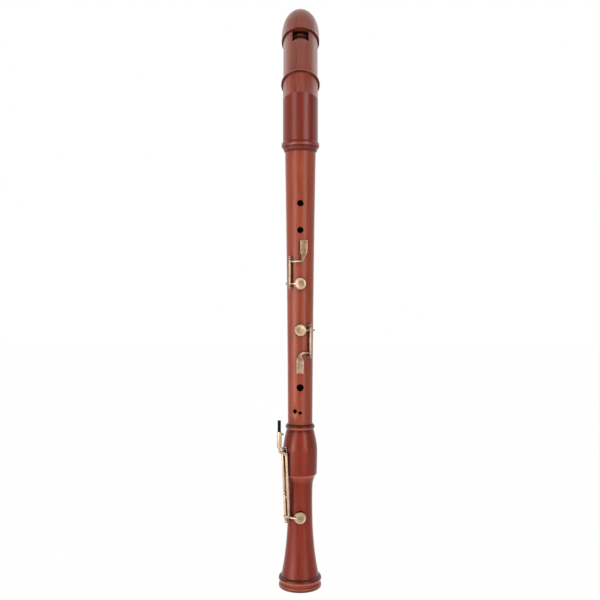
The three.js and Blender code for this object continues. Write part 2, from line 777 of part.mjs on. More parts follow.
function sprungKey(key) {
  const hinge = hingePoint(key, 0);
  const seatY = cupSeatY(key);
  const inner = -seatY + padThickness + cupWall;
  const reach = inner + leverThickness + overrun;
  const touchEnd = key.armZ + key.rise * key.touchEnd;
  const touchLength = key.touchEnd - Math.max(key.nearShoulder, key.farShoulder);
  const low = Math.min(touchEnd, key.cupZ, key.armZ) - leverWidth;
  const high = Math.max(touchEnd, key.cupZ, key.armZ) + leverWidth;
  const sheet = leverSheet(inner, low, high);
  const lever = sheet.intersect(frontCut(leverOutline(key, hinge.x), -reach, -inner / 2));
  const arm = sheet.intersect(block(
    Math.abs(hinge.x - key.cupX), inner + overrun, leverWidth,
    new THREE.Vector3((hinge.x + key.cupX) / 2, -inner / 2 - (inner + overrun) / 2, key.cupZ),
  ));
  const tubeLow = key.lowPost + postBallRadius + pivotGap;
  const tubeHigh = key.highPost - postBallRadius - pivotGap;
  const tube = shifted(disc(keyTubeRadius, tubeLow, tubeHigh), hinge.x, hinge.y, 0);
  const bore = shifted(
    disc(hingeRodRadius + runningGap, tubeLow - overrun, tubeHigh + overrun), hinge.x, hinge.y, 0,
  );
  const way = outward(hinge);
  const tailEnd = hinge.clone().add(new THREE.Vector3(key.side * (keyTubeRadius + keyTailLength), 0, key.cupZ));
  const tailStart = new THREE.Vector3(hinge.x + (key.side * keyTubeRadius) / 2, hinge.y, key.cupZ);
  const tail = rod(tailStart, tailEnd, leverWidth / 2, stemSides);
  const hookMiddle = hinge.clone().addScaledVector(way, -keyTubeRadius / 2).setZ((tubeLow + tubeHigh) / 2);
  const hookEnd = hinge.clone().addScaledVector(way, -keyTubeRadius - springHookReach).setZ(hookMiddle.z);
  const hook = rod(hookMiddle, hookEnd, springHookLength / 2, stemSides);
  const touchMiddle = touchEnd - (key.rise * touchLength) / 2;
  const dish = solid(new THREE.SphereGeometry(1, 16, 10)
    .scale(key.touchWidth / 2 - touchRim, touchDish, touchLength / 2 - touchRim)
    .rotateZ(Math.asin(key.touchX / (inner + leverThickness)))
    .translate(key.touchX, -Math.sqrt((inner + leverThickness) ** 2 - key.touchX ** 2), touchMiddle));
  const body = joined(lever, arm, tube, tail, hook, padCup(key.cupX, key.cupZ, seatY, key.cupRadius));
  return cutFrom(body, bore, dish, padRoom(key.cupX, key.cupZ, seatY, key.cupRadius));
}

// A ball on a stem that stands out from the bore, drilled for the hinge rod.
function ballPost(point, surface, ballRadius, along, rodRadius) {
  const way = outward(point);
  const root = way.clone().multiplyScalar(surface - postRoot + stemGap).setZ(point.z);
  const stem = rod(root, point, postStemRadius, stemSides);
  const ends = along.clone().multiplyScalar(2 * ballRadius);
  const drill = rod(point.clone().sub(ends), point.clone().add(ends), rodRadius + stemGap);
  return joined(ball(ballRadius, point), stem).subtract(drill);
}

// A hinge rod through its posts, with a slotted head past the last one.
function hingeRod(from, to, ballRadius, radius) {
  const along = to.clone().sub(from).normalize();
  const start = from.clone().addScaledVector(along, -ballRadius - rodTail);
  const neck = to.clone().addScaledVector(along, ballRadius + rodTail);
  const end = neck.clone().addScaledVector(along, rodHeadHeight);
  return joined(rod(start, end, radius), rod(neck, end, rodHeadShare * radius));
}

// A needle spring from the lower post, lying between the hinge tube and the wood.
function needleSpring(key) {
  const hinge = hingePoint(key, 0);
  const way = outward(hinge);
  const across = new THREE.Vector3(-way.y, way.x, 0).multiplyScalar(key.side * springStep);
  const line = hinge.clone().addScaledVector(way, -keyTubeRadius - springHookReach / 2).add(across);
  const middle = (key.lowPost + key.highPost) / 2;
  const from = line.clone().setZ(key.lowPost + postStemRadius + pivotGap);
  const to = line.clone().setZ(middle + springHookLength);
  return rod(from, to, springRadius, springSides);
}

// Foot key, made shut; places measured with the key open are turned shut first

const footHingeWay = footHingeHigh.clone().sub(footHingeLow).normalize();

function shut(point) {
  return point.clone().sub(footHingeLow).applyAxisAngle(footHingeWay, footKeyOpening).add(footHingeLow);
}

// A flat web between two upright bars.
function link(a, b, radius, height) {
  const low = a.clone().setZ(a.z - height / 2);
  const far = b.clone().setZ(low.z);
  const ends = [low, far].map((p) => shifted(disc(radius, 0, height), p.x, p.y, p.z));
  const length = Math.hypot(far.x - low.x, far.y - low.y);
  const web = new THREE.BoxGeometry(length, 2 * radius * Math.cos(Math.PI / smallSides), height);
  web.rotateZ(Math.atan2(far.y - low.y, far.x - low.x));
  web.translate((low.x + far.x) / 2, (low.y + far.y) / 2, a.z);
  return joined(solid(web), ...ends);
}

const footSeatY = -(footSeatRadius - seatDepth) - padSeatGap;

function footKey() {
  const postRoom = footBallRadius + pivotGap;
  const lowEnd = footHingeLow.z + postRoom;
  const highEnd = footHingeHigh.z - postRoom;
  const lowerTube = rod(footHingeAt(lowEnd), footHingeAt(footMiddlePostHeight - postRoom), footTubeRadius);
  const upperTube = rod(footHingeAt(footMiddlePostHeight + postRoom), footHingeAt(highEnd), footTubeRadius);
  const bore = rod(footHingeAt(lowEnd - overrun), footHingeAt(highEnd + overrun), footRodRadius + runningGap);
  const barLow = shut(footBarLow);
  const barHigh = shut(footBarHigh);
  const barAt = (z) => barLow.clone().lerp(barHigh, (z - barLow.z) / (barHigh.z - barLow.z));
  const bar = rod(barLow.clone().setZ(barLow.z - leverWidth / 2), barHigh, footBarRadius);
  const inner = -footSeatY + padThickness + cupWall;
  const low = footHingeAt(footCupHeight);
  const armBox = block(
    footCupX - low.x, 2 * inner, leverWidth,
    new THREE.Vector3((low.x + footCupX) / 2, low.y - inner, footCupHeight),
  );
  const arm = leverSheet(inner, footCupHeight - leverWidth, footCupHeight + leverWidth).intersect(armBox);
  const lowLink = link(low, barAt(footCupHeight), footBarRadius, leverWidth);
  const collar = link(footHingeAt(footCollarHeight), barAt(footCollarHeight), footCollarRadius, footLinkHeight);
  const highLevel = barHigh.z - footLinkHeight;
  const highLink = link(footHingeAt(highLevel), barAt(highLevel), footBarRadius, footLinkHeight);
  const sleeveFoot = shut(footSleeve);
  const sleeveTop = shut(footSleeve.clone().setZ(footSleeve.z + footSleeveLength));
  const elbow = shut(footSleeve.clone().setZ(footSleeve.z - footElbowDrop));
  const sleeve = rod(sleeveFoot, sleeveTop, footSleeveRadius);
  const elbowPath = new THREE.CatmullRomCurve3([
    shut(footSleeve.clone().setZ(footSleeve.z + footSleeveFloor / 2)),
    shut(footSleeve.clone().setZ(footSleeve.z - footElbowDrop / 2)),
    ...footElbowShares.map((share) => elbow.clone().lerp(barHigh, share)),
    barHigh.clone().setZ(barHigh.z - footArmRadius),
  ]);
  const ring = new THREE.Shape().absarc(0, 0, footArmRadius, 0, 2 * Math.PI);
  const armTop = solid(new THREE.ExtrudeGeometry(ring, {
    steps: 12, extrudePath: elbowPath, curveSegments: 10, bevelEnabled: false,
  }));
  const socket = rod(
    shut(footSleeve.clone().setZ(footSleeve.z + footSleeveFloor)),
    shut(footSleeve.clone().setZ(footSleeve.z + footSleeveLength + overrun)),
    footSleeveBore,
  );
  const clampFrom = footSleeve.clone().setZ(footSleeve.z + clampHeight);
  const clampTo = clampFrom.clone().setX(clampFrom.x + footSleeveRadius + overrun);
  const clampHole = rod(shut(clampFrom), shut(clampTo), clampShankRadius + stemGap, stemSides);
  const body = joined(
    lowerTube, upperTube, bar, arm, lowLink, collar, highLink, sleeve, armTop,
    padCup(footCupX, footCupHeight, footSeatY, footCupRadius),
  );
  return cutFrom(body, bore, socket, clampHole, padRoom(footCupX, footCupHeight, footSeatY, footCupRadius));
}

function clampScrew() {
  const from = footSleeve.clone().add(new THREE.Vector3(touchRodRadius + stemGap, 0, clampHeight));
  const neck = from.clone().add(new THREE.Vector3(clampShank, 0, 0));
  const end = neck.clone().add(new THREE.Vector3(clampHeadHeight, 0, 0));
  return joined(rod(from, end, clampShankRadius, stemSides), rod(neck, end, clampHeadRadius));
}

function touchRod() {
  const top = footSleeve.z + footSleeveLength + touchRodShown;
  const bottom = footSleeve.z + footSleeveLength - touchRodHidden;
  const profile = [[0, bottom], [touchRodRadius, bottom], [touchRodRadius, top - edgeBreak],
    [touchRodRadius - edgeBreak, top], [0, top]];
  return shifted(turned(profile, smallSides), footSleeve.x, footSleeve.y, 0);
}

function springPost() {
  const way = outward(springPostPlace);
  const surface = way.clone().multiplyScalar(footRadiusAt(springPostHeight)).setZ(springPostHeight);
  const head = surface.clone().addScaledVector(way, springPostRise);
  const root = surface.clone().addScaledVector(way, stemGap - postRoot);
  return joined(rod(root, head, springPostShank, stemSides), ball(springPostRadius, head, stemSides));
}

function footSpring() {
  const way = outward(springPostPlace);
  const top = way.clone().multiplyScalar(barrelRadius + footSpringStandoff)
    .setZ(springPostHeight - springPostShank - stemGap);
  return rod(top, top.clone().setZ(top.z - footSpringLength), springRadius, springSides);
}

// Fittings at the back

// A rod square to the bore at the back, from one distance to another.
function backRod(from, to, z, radius, sides = stemSides) {
  return rod(new THREE.Vector3(0, from, z), new THREE.Vector3(0, to, z), radius, sides);
}

function thumbRest() {
  const inner = middleRadiusAt(restHeight) + restGap;
  const outer = inner + restThickness;
  const low = restHeight - restPlateLength / 2;
  const high = restHeight + restPlateLength / 2;
  const sheet = turnedTube([[outer, low], [outer, high]], [[inner, high], [inner, low]], 2 * woodSides);
  const plate = sheet.intersect(block(
    restWidth, inner + overrun, restPlateLength, new THREE.Vector3(0, inner / 2 + (inner + overrun) / 2, restHeight),
  ));
  const base = inner + restThickness / 2;
  const tip = inner + restHookReach;
  const hook = new THREE.Shape();
  hook.moveTo(base, restHeight + restHookThickness / 2);
  hook.lineTo(tip - restHookDrop, restHeight + restHookThickness / 2);
  hook.quadraticCurveTo(tip, restHeight + restHookThickness / 2, tip, restHeight - restHookDrop);
  hook.lineTo(tip - restHookThickness, restHeight - restHookDrop);
  hook.quadraticCurveTo(
    tip - restHookThickness, restHeight - restHookThickness / 2,
    tip - restHookDrop, restHeight - restHookThickness / 2,
  );
  hook.lineTo(base, restHeight - restHookThickness / 2);
  hook.closePath();
  const holes = restScrewHeights.map((z) => backRod(inner - overrun, inner + overrun, z, restScrewRadius + stemGap));
  return cutFrom(joined(plate, sideCut(hook, restWidth)), ...holes);
}

function restScrew(z) {
  const face = middleRadiusAt(restHeight) + restGap + restThickness + restGap / 2;
  const tip = middleRadiusAt(z) - restScrewLength + stemGap;
  const end = face + restScrewHeadHeight;
  return joined(backRod(tip, end, z, restScrewRadius), backRod(face, end, z, restScrewHead, smallSides));
}

const strapCentre = new THREE.Vector3(0, middleRadiusAt(strapHeight) + strapEyeStandoff, strapHeight);

function strapEye() {
  const across = (radius, half) => rod(strapCentre.clone().setX(-half), strapCentre.clone().setX(half), radius);
  const root = strapCentre.clone().setY(middleRadiusAt(strapHeight) - postRoot + stemGap);
  const stem = rod(root, strapCentre.clone().setY(strapCentre.y - strapEyeHole), postStemRadius, stemSides);
  const hole = across(strapEyeHole, strapEyeThickness);
  return joined(across(strapEyeRadius, strapEyeThickness / 2), stem).subtract(hole);
}

function strapRing() {
  const wire = new THREE.TorusGeometry(strapRingRadius, strapWire, 8, 28).rotateX(Math.PI / 2);
  return solid(wire.translate(strapCentre.x, strapCentre.y, strapCentre.z - strapRingRadius));
}

// Assembly

const recorder = new THREE.Group();
const head = new THREE.Group();
head.position.z = kneeHeight;
head.rotation.x = -headTilt;
recorder.add(head);

function place(name, shape, material, group = recorder) {
  const mesh = new THREE.Mesh(geometryOf(shape), material);
  mesh.name = name;
  group.add(mesh);
}

// A group whose contents, made shut, stand open by an angle about a hinge.
function standingOpen(hinge, way, angle) {
  const swung = new THREE.Group();
  swung.position.copy(hinge);
  swung.setRotationFromAxisAngle(way, angle);
  const shutFrame = new THREE.Group();
  shutFrame.position.copy(hinge).negate();
  swung.add(shutFrame);
  recorder.add(swung);
  return shutFrame;
}

place("foot_joint", footJoint(), darkWood);
place("middle_joint", middleJoint(), paleWood);
place("knee_lower_half", kneeLowerHalf(), darkWood);
place("knee_upper_half", kneeUpperHalf(), darkWood, head);
place("head_joint", headJoint(), darkWood, head);
place("head_block", headBlock(), cedar, head);
place("cap", cap(), darkWood, head);

const footCork = [footTop - corkSetback - corkWidth, footTop - corkSetback];
const kneeCork = [middleTop + corkSetback, middleTop + corkSetback + corkWidth];
place("foot_tenon_cork", corkSleeve(footTenonRadius - corkDepth, footSocketRadius, ...footCork), cork);
place("knee_tenon_cork", corkSleeve(kneeTenonRadius - corkDepth, kneeSocketRadius, ...kneeCork), cork);
place("head_tenon_cork", corkSleeve(headTenonRadius - corkDepth, headSocketRadius, ...headTenonCork), cork, head);
place("cap_cork", corkSleeve(sleeveRadius - capCorkDepth, sleeveRadius + 2 * corkGap, ...capCorkSpan), cork, head);

const upright = new THREE.Vector3(0, 0, 1);
for (const [name, key] of [["upper_key", upperKey], ["lower_key", lowerKey]]) {
  const [low, high] = keyPosts(key);
  const open = standingOpen(hingePoint(key, 0), upright, key.side * keyOpening);
  place(name, sprungKey(key), brass, open);
  place(name + "_pad", pad(key.cupX, key.cupZ, cupSeatY(key), key.cupRadius), leather, open);
  for (const [level, point] of [["_lower_post", low], ["_upper_post", high]]) {
    const post = ballPost(point, middleRadiusAt(point.z), postBallRadius, upright, hingeRodRadius);
    place(name + level, post, brass);
  }
  place(name + "_hinge_rod", hingeRod(low, high, postBallRadius, hingeRodRadius), steel);
  place(name + "_spring", needleSpring(key), steel);
}

const footOpen = standingOpen(footHingeLow, footHingeWay, -footKeyOpening);
place("foot_key", footKey(), brass, footOpen);
place("foot_key_pad", pad(footCupX, footCupHeight, footSeatY, footCupRadius), leather, footOpen);
["lower", "middle", "upper"].forEach((level, i) => {
  const post = ballPost(footPosts[i], footRadiusAt(footPosts[i].z), footBallRadius, footHingeWay, footRodRadius);
  place("foot_key_" + level + "_post", post, brass);
});
place("foot_key_hinge_rod", hingeRod(footHingeLow, footHingeHigh, footBallRadius, footRodRadius), steel);
place("foot_key_spring_post", springPost(), brass);
place("foot_key_spring", footSpring(), steel);
place("foot_key_touch", touchRod(), ebonite);
place("foot_key_clamp_screw", clampScrew(), steel);

place("thumb_rest", thumbRest(), brass);
place("thumb_rest_lower_screw", restScrew(restScrewHeights[0]), steel);
place("thumb_rest_upper_screw", restScrew(restScrewHeights[1]), steel);
place("strap_eye", strapEye(), brass);
place("strap_ring", strapRing(), brass);

export default recorder;
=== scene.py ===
"""Bass recorder with a bent head: the looks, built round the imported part.

Metres, +Z up the bore, the finger holes face -Y. Sizes below are in millimetres and named as a maker
would; MM turns them into metres where a mesh is made.
"""
from math import asin, cos, pi, radians, sin, sqrt, tau

import bpy
from mathutils import Matrix, Vector


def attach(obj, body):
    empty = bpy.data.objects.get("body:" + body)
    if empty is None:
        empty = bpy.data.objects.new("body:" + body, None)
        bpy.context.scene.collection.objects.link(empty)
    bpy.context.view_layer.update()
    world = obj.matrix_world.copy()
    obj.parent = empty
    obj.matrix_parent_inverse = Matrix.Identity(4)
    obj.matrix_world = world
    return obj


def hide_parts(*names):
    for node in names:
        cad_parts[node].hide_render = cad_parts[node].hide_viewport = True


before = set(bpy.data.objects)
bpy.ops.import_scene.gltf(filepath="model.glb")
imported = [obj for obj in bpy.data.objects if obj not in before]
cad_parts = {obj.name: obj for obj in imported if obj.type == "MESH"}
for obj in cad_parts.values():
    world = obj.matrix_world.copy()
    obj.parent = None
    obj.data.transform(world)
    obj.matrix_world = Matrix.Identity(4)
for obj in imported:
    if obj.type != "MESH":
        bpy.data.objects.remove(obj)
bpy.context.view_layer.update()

MM = 0.001
ROUND_STEPS = 160
SMALL_STEPS = 40

# Camera, fitted to the photograph's perspective
EYE_DISTANCE = 1190
EYE_HEIGHT = 434.7
EYE_SIDE = -0.39
EYE_ROLL = radians(-0.057)
FOCAL_PIXELS = 793
IMAGE_PIXELS = 600
SENSOR = 36
HORIZON_PIXELS = 4  # how far the eye level lies above the middle of the picture

# Joints of the body
KNEE_HEIGHT = 726
HEAD_TILT = radians(36)
FOOT_TOP = 243
MIDDLE_TOP = 650.3
SEAT_GAP = 0.2
GLUE_GAP = 0.1
EASE = 0.35  # small rounding of turned corners

# Keys of the middle joint, made shut and then swung open
HINGE_SIDE = 15.5
HINGE_STANDOFF = 4
TUBE_RADIUS = 1.9
BALL_RADIUS = 2.3
LEVER_THICKNESS = 1.8
LEVER_WIDTH = 2.8
PAD_THICKNESS = 2.5
PAD_GAP = 0.3
SEAT_DEPTH = 1.2
CUP_WALL = 0.8
CUP_CROWN = 0.9
CUP_HEIGHT = 3
KEY_OPENING = radians(10.5)

# Foot key
FOOT_HINGE_LOW = Vector((-20.7, -11.3, 100.1))
FOOT_HINGE_HIGH = Vector((-25.6, -14.3, 206.6))
FOOT_KEY_OPENING = radians(6)
FOOT_CUP_SIDE, FOOT_CUP_HEIGHT = 1, 107.5
FOOT_CUP_RADIUS = 9
FOOT_CUP_DRAWN = FOOT_CUP_RADIUS - 0.3
FOOT_SEAT = 17.3


# ---- Shader maths

NOISE_ROUGHNESS = 0.55
NOISE_SPAN = (0.3, 0.7)  # where nearly all of a noise lies
HOLLOW_SAMPLES = 6


class Field:
    """A value that varies over a surface, written into sums as a plain number is."""

    def __init__(self, shader, socket):
        self.shader = shader
        self.socket = socket

    def _math(self, operation, first, second):
        return self.shader.node("ShaderNodeMath", {"operation": operation}, {0: first, 1: second})

    def __add__(self, other):
        return self._math("ADD", self, other)

    __radd__ = __add__

    def __sub__(self, other):
        return self._math("SUBTRACT", self, other)

    def __rsub__(self, other):
        return self._math("SUBTRACT", other, self)

    def __mul__(self, other):
        return self._math("MULTIPLY", self, other)

    __rmul__ = __mul__

    def larger(self, other):
        return self._math("MAXIMUM", self, other)


class Graph:
    """The nodes of one material or of the studio's surroundings."""

    def __init__(self, owner):
        owner.use_nodes = True
        self.tilted = False
        self.nodes = owner.node_tree.nodes
        self.links = owner.node_tree.links

    def node(self, kind, settings=None, values=None, output=0):
        made = self.nodes.new(kind)
        for key, value in (settings or {}).items():
            if key == "stops":
                self._ramp(made.color_ramp, value)
            else:
                setattr(made, key, value)
        for socket, value in (values or {}).items():
            self.feed(made.inputs[socket], value)
        return Field(self, made.outputs[output])

    def _ramp(self, ramp, stops):
        while len(ramp.elements) < len(stops):
            ramp.elements.new(1)
        for element, (place, colour) in zip(ramp.elements, stops):
            element.position = place
            element.color = (*colour, 1)

    def feed(self, socket, value):
        if isinstance(value, Field):
            self.links.new(value.socket, socket)
        elif socket.type == "RGBA" and len(value) == 3:
            socket.default_value = (*value, 1)
        else:
            socket.default_value = value

    def seen_white(self, lit, output, shade=1, mirrored=1):
        """Shows the lit closure, but plain white to the camera and, by the share mirrored, in reflections."""
        seen, shone, passed = [
            self.node("ShaderNodeLightPath", output="Is %s Ray" % kind)
            for kind in ("Camera", "Glossy", "Transmission")
        ]
        share = seen.larger(shone.larger(passed) * mirrored) * shade
        kind = "ShaderNodeBackground" if output == "World Output" else "ShaderNodeEmission"
        white = self.node(kind, None, {"Color": (1, 1, 1)})
        both = self.node("ShaderNodeMixShader", None, {0: share, 1: lit, 2: white})
        self.feed(self.nodes[output].inputs[0], both)

    def place(self, stretch=(1, 1, 1)):
        """Coordinates along the piece's own bore, in metres, times a stretch."""
        own = self.node("ShaderNodeTexCoord", output=3)
        if self.tilted:
            bend = (0, 0, KNEE_HEIGHT * MM)
            own = self.node("ShaderNodeVectorRotate", {"rotation_type": "X_AXIS"},
                            {"Vector": own, "Center": bend, "Angle": HEAD_TILT})
            own = self.node("ShaderNodeVectorMath", {"operation": "SUBTRACT"}, {0: own, 1: bend})
        return self.node("ShaderNodeVectorMath", {"operation": "MULTIPLY"}, {0: own, 1: stretch})

    def noise(self, at, scale, detail, roughness=NOISE_ROUGHNESS):
        return self.node(
            "ShaderNodeTexNoise", None,
            {"Vector": at, "Scale": scale, "Detail": detail, "Roughness": roughness},
        )

    def figure(self, drawn_out, scale, detail, roughness=NOISE_ROUGHNESS):
        """Noise that is drawn out along the piece: the smaller the number, the longer."""
        return self.noise(self.place((1, 1, drawn_out)), scale, detail, roughness)

    def spread(self, value, low, high, to_low=0, to_high=1):
        return self.node(
            "ShaderNodeMapRange", {"clamp": True},
            {"Value": value, "From Min": low, "From Max": high, "To Min": to_low, "To Max": to_high},
        )

    def tint(self, share, first, second):
        return self.node("ShaderNodeMix", {"data_type": "RGBA"}, {0: share, 6: first, 7: second}, output=2)

    def hollows(self, reach, inside=False):
        """1 in the open, less in gaps narrower than the reach, in metres; with inside, less at edges. Fed
        into a colour, it paints shade or light.
        """
        settings = {"samples": HOLLOW_SAMPLES, "inside": inside}
        return self.node("ShaderNodeAmbientOcclusion", settings, {"Distance": reach}, output=1)

    def bump(self, height, strength, distance):
        values = {"Height": height, "Strength": strength, "Distance": distance}
        return self.node("ShaderNodeBump", None, values)


class Shader(Graph):
    """A material in the making: one principled surface and the nodes that feed it."""

    def __init__(self, name, **constants):
        self.material = bpy.data.materials.new(name)
        super().__init__(self.material)
        self.surface = self.nodes["Principled BSDF"]
        for socket, value in constants.items():
            self.surface.inputs[socket.replace("_", " ")].default_value = value

    def set(self, **fields):
        for socket, value in fields.items():
            self.feed(self.surface.inputs[socket.replace("_", " ")], value)
        return self


def darker(colour, share):
    return tuple(share * part for part in colour)


# Figure of the pearwood: how it is drawn out along the grain, its scale per metre, detail and roughness
WANDER = (0.12, 55, 4)
STREAKS = (0.035, 620, 5, 0.65)
BANDS = (0.02, 160, 3)
FLECK = (0.16, 1500, 2, 0.7)
PORES = (0.11, 2100, 1, 0.5)
PORE_DARK, HOLLOW_SHADE, RING_SHADE = 0.45, 0.2, 0.12  # shares of the deep stain: in the pores, in the painted shade of hollows, and in the painted shade of the turnings
SATIN = (0.31, 0.43)
EDGE_GLOSS = 0.8
WOOD_HOLLOW = 0.008
CORE_EDGE = 1
RING_LIGHT = (0.46, 0.13, 0.08)
CEDAR_HOLLOW = 0.012
CEDAR_SHADE = (0.01, 0.004, 0.002)
BRASS_HOLLOW = 0.008
BRASS_EDGE = 0.0011
BRASS_SHADE = (0.1, 0.035, 0.008)
EDGE_WEAR_AND_GLINT = (0.48, 0.34, 0.245)


def stained_wood(name, deep, warm, pale, streak_share, sheen, rings=(), shaded_core=0, tilted=False):
    """Pearwood under a red stain: fine straight grain, small pores and a satin oil finish.

    Sheen colours the gloss. Rings are (height, shade) pairs along the piece, painted light and shade: below a
    half the wood is painted darker and loses its gloss, above it is painted paler. Nearer to the bore's axis
    than the shaded core the wood is painted dark, as painted shade inside the bore.
    """
    wood = Shader(name, Specular_IOR_Level=0.45, Specular_Tint=(*sheen, 1), Coat_Roughness=0.3)
    wood.tilted = tilted
    wander, streaks, bands, fleck = [wood.figure(*kind) for kind in (WANDER, STREAKS, BANDS, FLECK)]
    pores = wood.spread(wood.figure(*PORES), 0.66, 0.74)
    stain = wood.tint(wood.spread(wander, *NOISE_SPAN), deep, warm)
    grain = wood.spread(streaks * 0.55 + bands * 0.45, 0.38, 0.62)
    coloured = wood.tint(grain * streak_share, stain, pale)
    flecked = wood.tint(wood.spread(fleck, 0.52, 0.8) * 0.22, coloured, pale)
    colour = wood.tint(pores * 0.5, flecked, darker(deep, PORE_DARK))
    gloss = wood.spread(wood.node("ShaderNodeLayerWeight", output="Facing"), 0.5, 1, 0, EDGE_GLOSS)
    # Painted shade: the colour darkens towards the deep stain in gaps and corners, where shade falls.
    shade = wood.spread(wood.hollows(WOOD_HOLLOW), 0.38, 0.92)
    if rings:
        low, high = rings[0][0], rings[-1][0]
        height = wood.node("ShaderNodeSeparateXYZ", None, {0: wood.place()}, output=2)
        stops = [((z - low) / (high - low), (shade, shade, shade)) for z, shade in rings]
        along = wood.spread(height, low * MM, high * MM)
        wear = wood.node("ShaderNodeValToRGB", {"stops": stops}, {0: along})
        # Painted shade in the dark bands and painted light in the pale bands of the turnings; the wear
        # table's values set both.
        shaded_band, lit_band = wood.spread(wear, 0.5, 0), wood.spread(wear, 0.5, 1)
        colour = wood.tint(shaded_band * 0.85, colour, darker(deep, RING_SHADE))
        colour = wood.tint(lit_band * 0.8, colour, RING_LIGHT)
        gloss = gloss * (1 - shaded_band)
        shade = shade.larger(lit_band)
    if shaded_core:
        # Painted shade: the wood inside the bore and the window darkens towards the axis.
        across = wood.place((1, 1, 0))
        across = wood.node("ShaderNodeVectorMath", {"operation": "LENGTH"}, {0: across}, output=1)
        shade = shade * wood.spread(across, (shaded_core - CORE_EDGE) * MM, shaded_core * MM)
    wood.set(
        Base_Color=wood.tint(shade, darker(deep, HOLLOW_SHADE), colour),
        Roughness=wood.spread(streaks, *NOISE_SPAN, *SATIN),
        Coat_Weight=gloss * shade,
        Normal=wood.bump(streaks * 0.6 + fleck * 0.3 - pores * 0.6, 0.16, 0.00025),
    )
    return wood.material


def bare_cedar(name):
    cedar = Shader(name, Specular_IOR_Level=0.1)
    cedar.tilted = True
    rings = cedar.figure(0.03, 300, 4)
    colour = cedar.tint(cedar.spread(rings, 0.35, 0.65), (0.09, 0.03, 0.012), (0.18, 0.07, 0.035))
    # Painted shade: the block darkens in its hollows and gaps, and its colours are kept darker for the shade
    # inside the window.
    shade = cedar.spread(cedar.hollows(CEDAR_HOLLOW), 0.2, 0.9)
    cedar.set(Base_Color=cedar.tint(shade, CEDAR_SHADE, colour),
              Roughness=cedar.spread(rings, *NOISE_SPAN, 0.6, 0.75), Normal=cedar.bump(rings, 0.2, 0.0003))
    return cedar.material


def lapped_cork(name):
    cork = Shader(name)
    at = cork.place()
    crumbs = cork.node("ShaderNodeTexVoronoi", None, {"Vector": at, "Scale": 650})
    shade = cork.noise(at, 240, 3)
    body = cork.tint(cork.spread(shade, *NOISE_SPAN), (0.42, 0.24, 0.11), (0.62, 0.42, 0.24))
    cork.set(Base_Color=cork.tint(cork.spread(crumbs, 0, 0.35) * 0.5, (0.2, 0.1, 0.045), body),
             Roughness=cork.spread(shade, *NOISE_SPAN, 0.75, 0.92), Normal=cork.bump(crumbs, 0.4, 0.0004))
    return cork.material


def aged_brass(name, warm, dull, shine, reach=BRASS_HOLLOW):
    """Key brass: filed and polished by hand, with a thin brown bloom; painted shade darkens it in corners and
    gaps, and its sharp edges are lighter, partly wear and partly a painted highlight.
    """
    brass = Shader(name, Metallic=1)
    at = brass.place()
    bloom = brass.noise(at, 130, 3)
    wear = brass.noise(at, 700, 3)
    brushed = brass.figure(0.2, 2600, 2)
    face = brass.tint(brass.spread(bloom * 0.8 + wear * 0.2, 0.42, 0.66), warm, dull)
    # Sharp edges lighter: partly wear, partly a painted highlight.
    face = brass.tint(brass.spread(brass.hollows(BRASS_EDGE, True), 0.95, 0.55), face, EDGE_WEAR_AND_GLINT)
    brass.set(
        # Painted shade: the brass darkens in corners and narrow gaps, where shade falls.
        Base_Color=brass.tint(brass.spread(brass.hollows(reach), 0.3, 0.85), BRASS_SHADE, face),
        Roughness=brass.spread(wear * 0.6 + brushed * 0.4, *NOISE_SPAN, shine, shine + 0.1),
        Normal=brass.bump(brushed + wear * 0.5, 0.03, 0.0002),
    )
    return brass.material


def clouded(name, clouds, colours, lines, gloss, bump, **constants):
    """Steel or resin: faint clouds in the colour and fine lines in the finish."""
    made = Shader(name, **constants)
    haze, rub = made.noise(made.place(), *clouds), made.figure(*lines)
    made.set(
        Base_Color=made.tint(made.spread(haze, *NOISE_SPAN), *colours),
        Roughness=made.spread(rub, *NOISE_SPAN, *gloss), Normal=made.bump(rub, *bump),
    )
    return made.material


def kid_leather(name):
    kid = Shader(name, Sheen_Weight=0.1)
    at = kid.place()
    skin = kid.node("ShaderNodeTexVoronoi", None, {"Vector": at, "Scale": 2200})
    soil = kid.noise(at, 420, 4)
    kid.set(Base_Color=kid.tint(kid.spread(soil, 0.35, 0.7), (0.74, 0.62, 0.43), (0.55, 0.42, 0.26)),
            Roughness=kid.spread(soil, *NOISE_SPAN, 0.65, 0.85), Normal=kid.bump(skin, 0.25, 0.0002))
    return kid.material


RED_SHEEN = (1, 0.55, 0.45)
# Deep, warm and pale colour, share of the pale streaks, and colour of the sheen
FOOT_STAIN = ((0.092, 0.005, 0.0018), (0.157, 0.0095, 0.0033), (0.25, 0.034, 0.016), 0.35, RED_SHEEN)
KNEE_STAIN = ((0.075, 0.0045, 0.0018), (0.13, 0.008, 0.0028), (0.23, 0.03, 0.014), 0.35, (1, 0.75, 0.68))
# The socket's and the head's stains are paler than the knee's, partly as painted light: the bent head leans
# back towards the light from above.
SOCKET_LIT_STAIN = ((0.095, 0.0095, 0.004), (0.165, 0.019, 0.008), (0.32, 0.07, 0.038), 0.5, (1, 0.7, 0.6))
HEAD_LIT_STAIN = ((0.08, 0.0075, 0.003), (0.145, 0.0155, 0.007), (0.31, 0.076, 0.042), 0.5, (0.9, 0.68, 0.62))
PALE_STAIN = ((0.13, 0.0155, 0.0055), (0.205, 0.028, 0.01), (0.33, 0.08, 0.04), 0.5, (0.8, 0.55, 0.47))
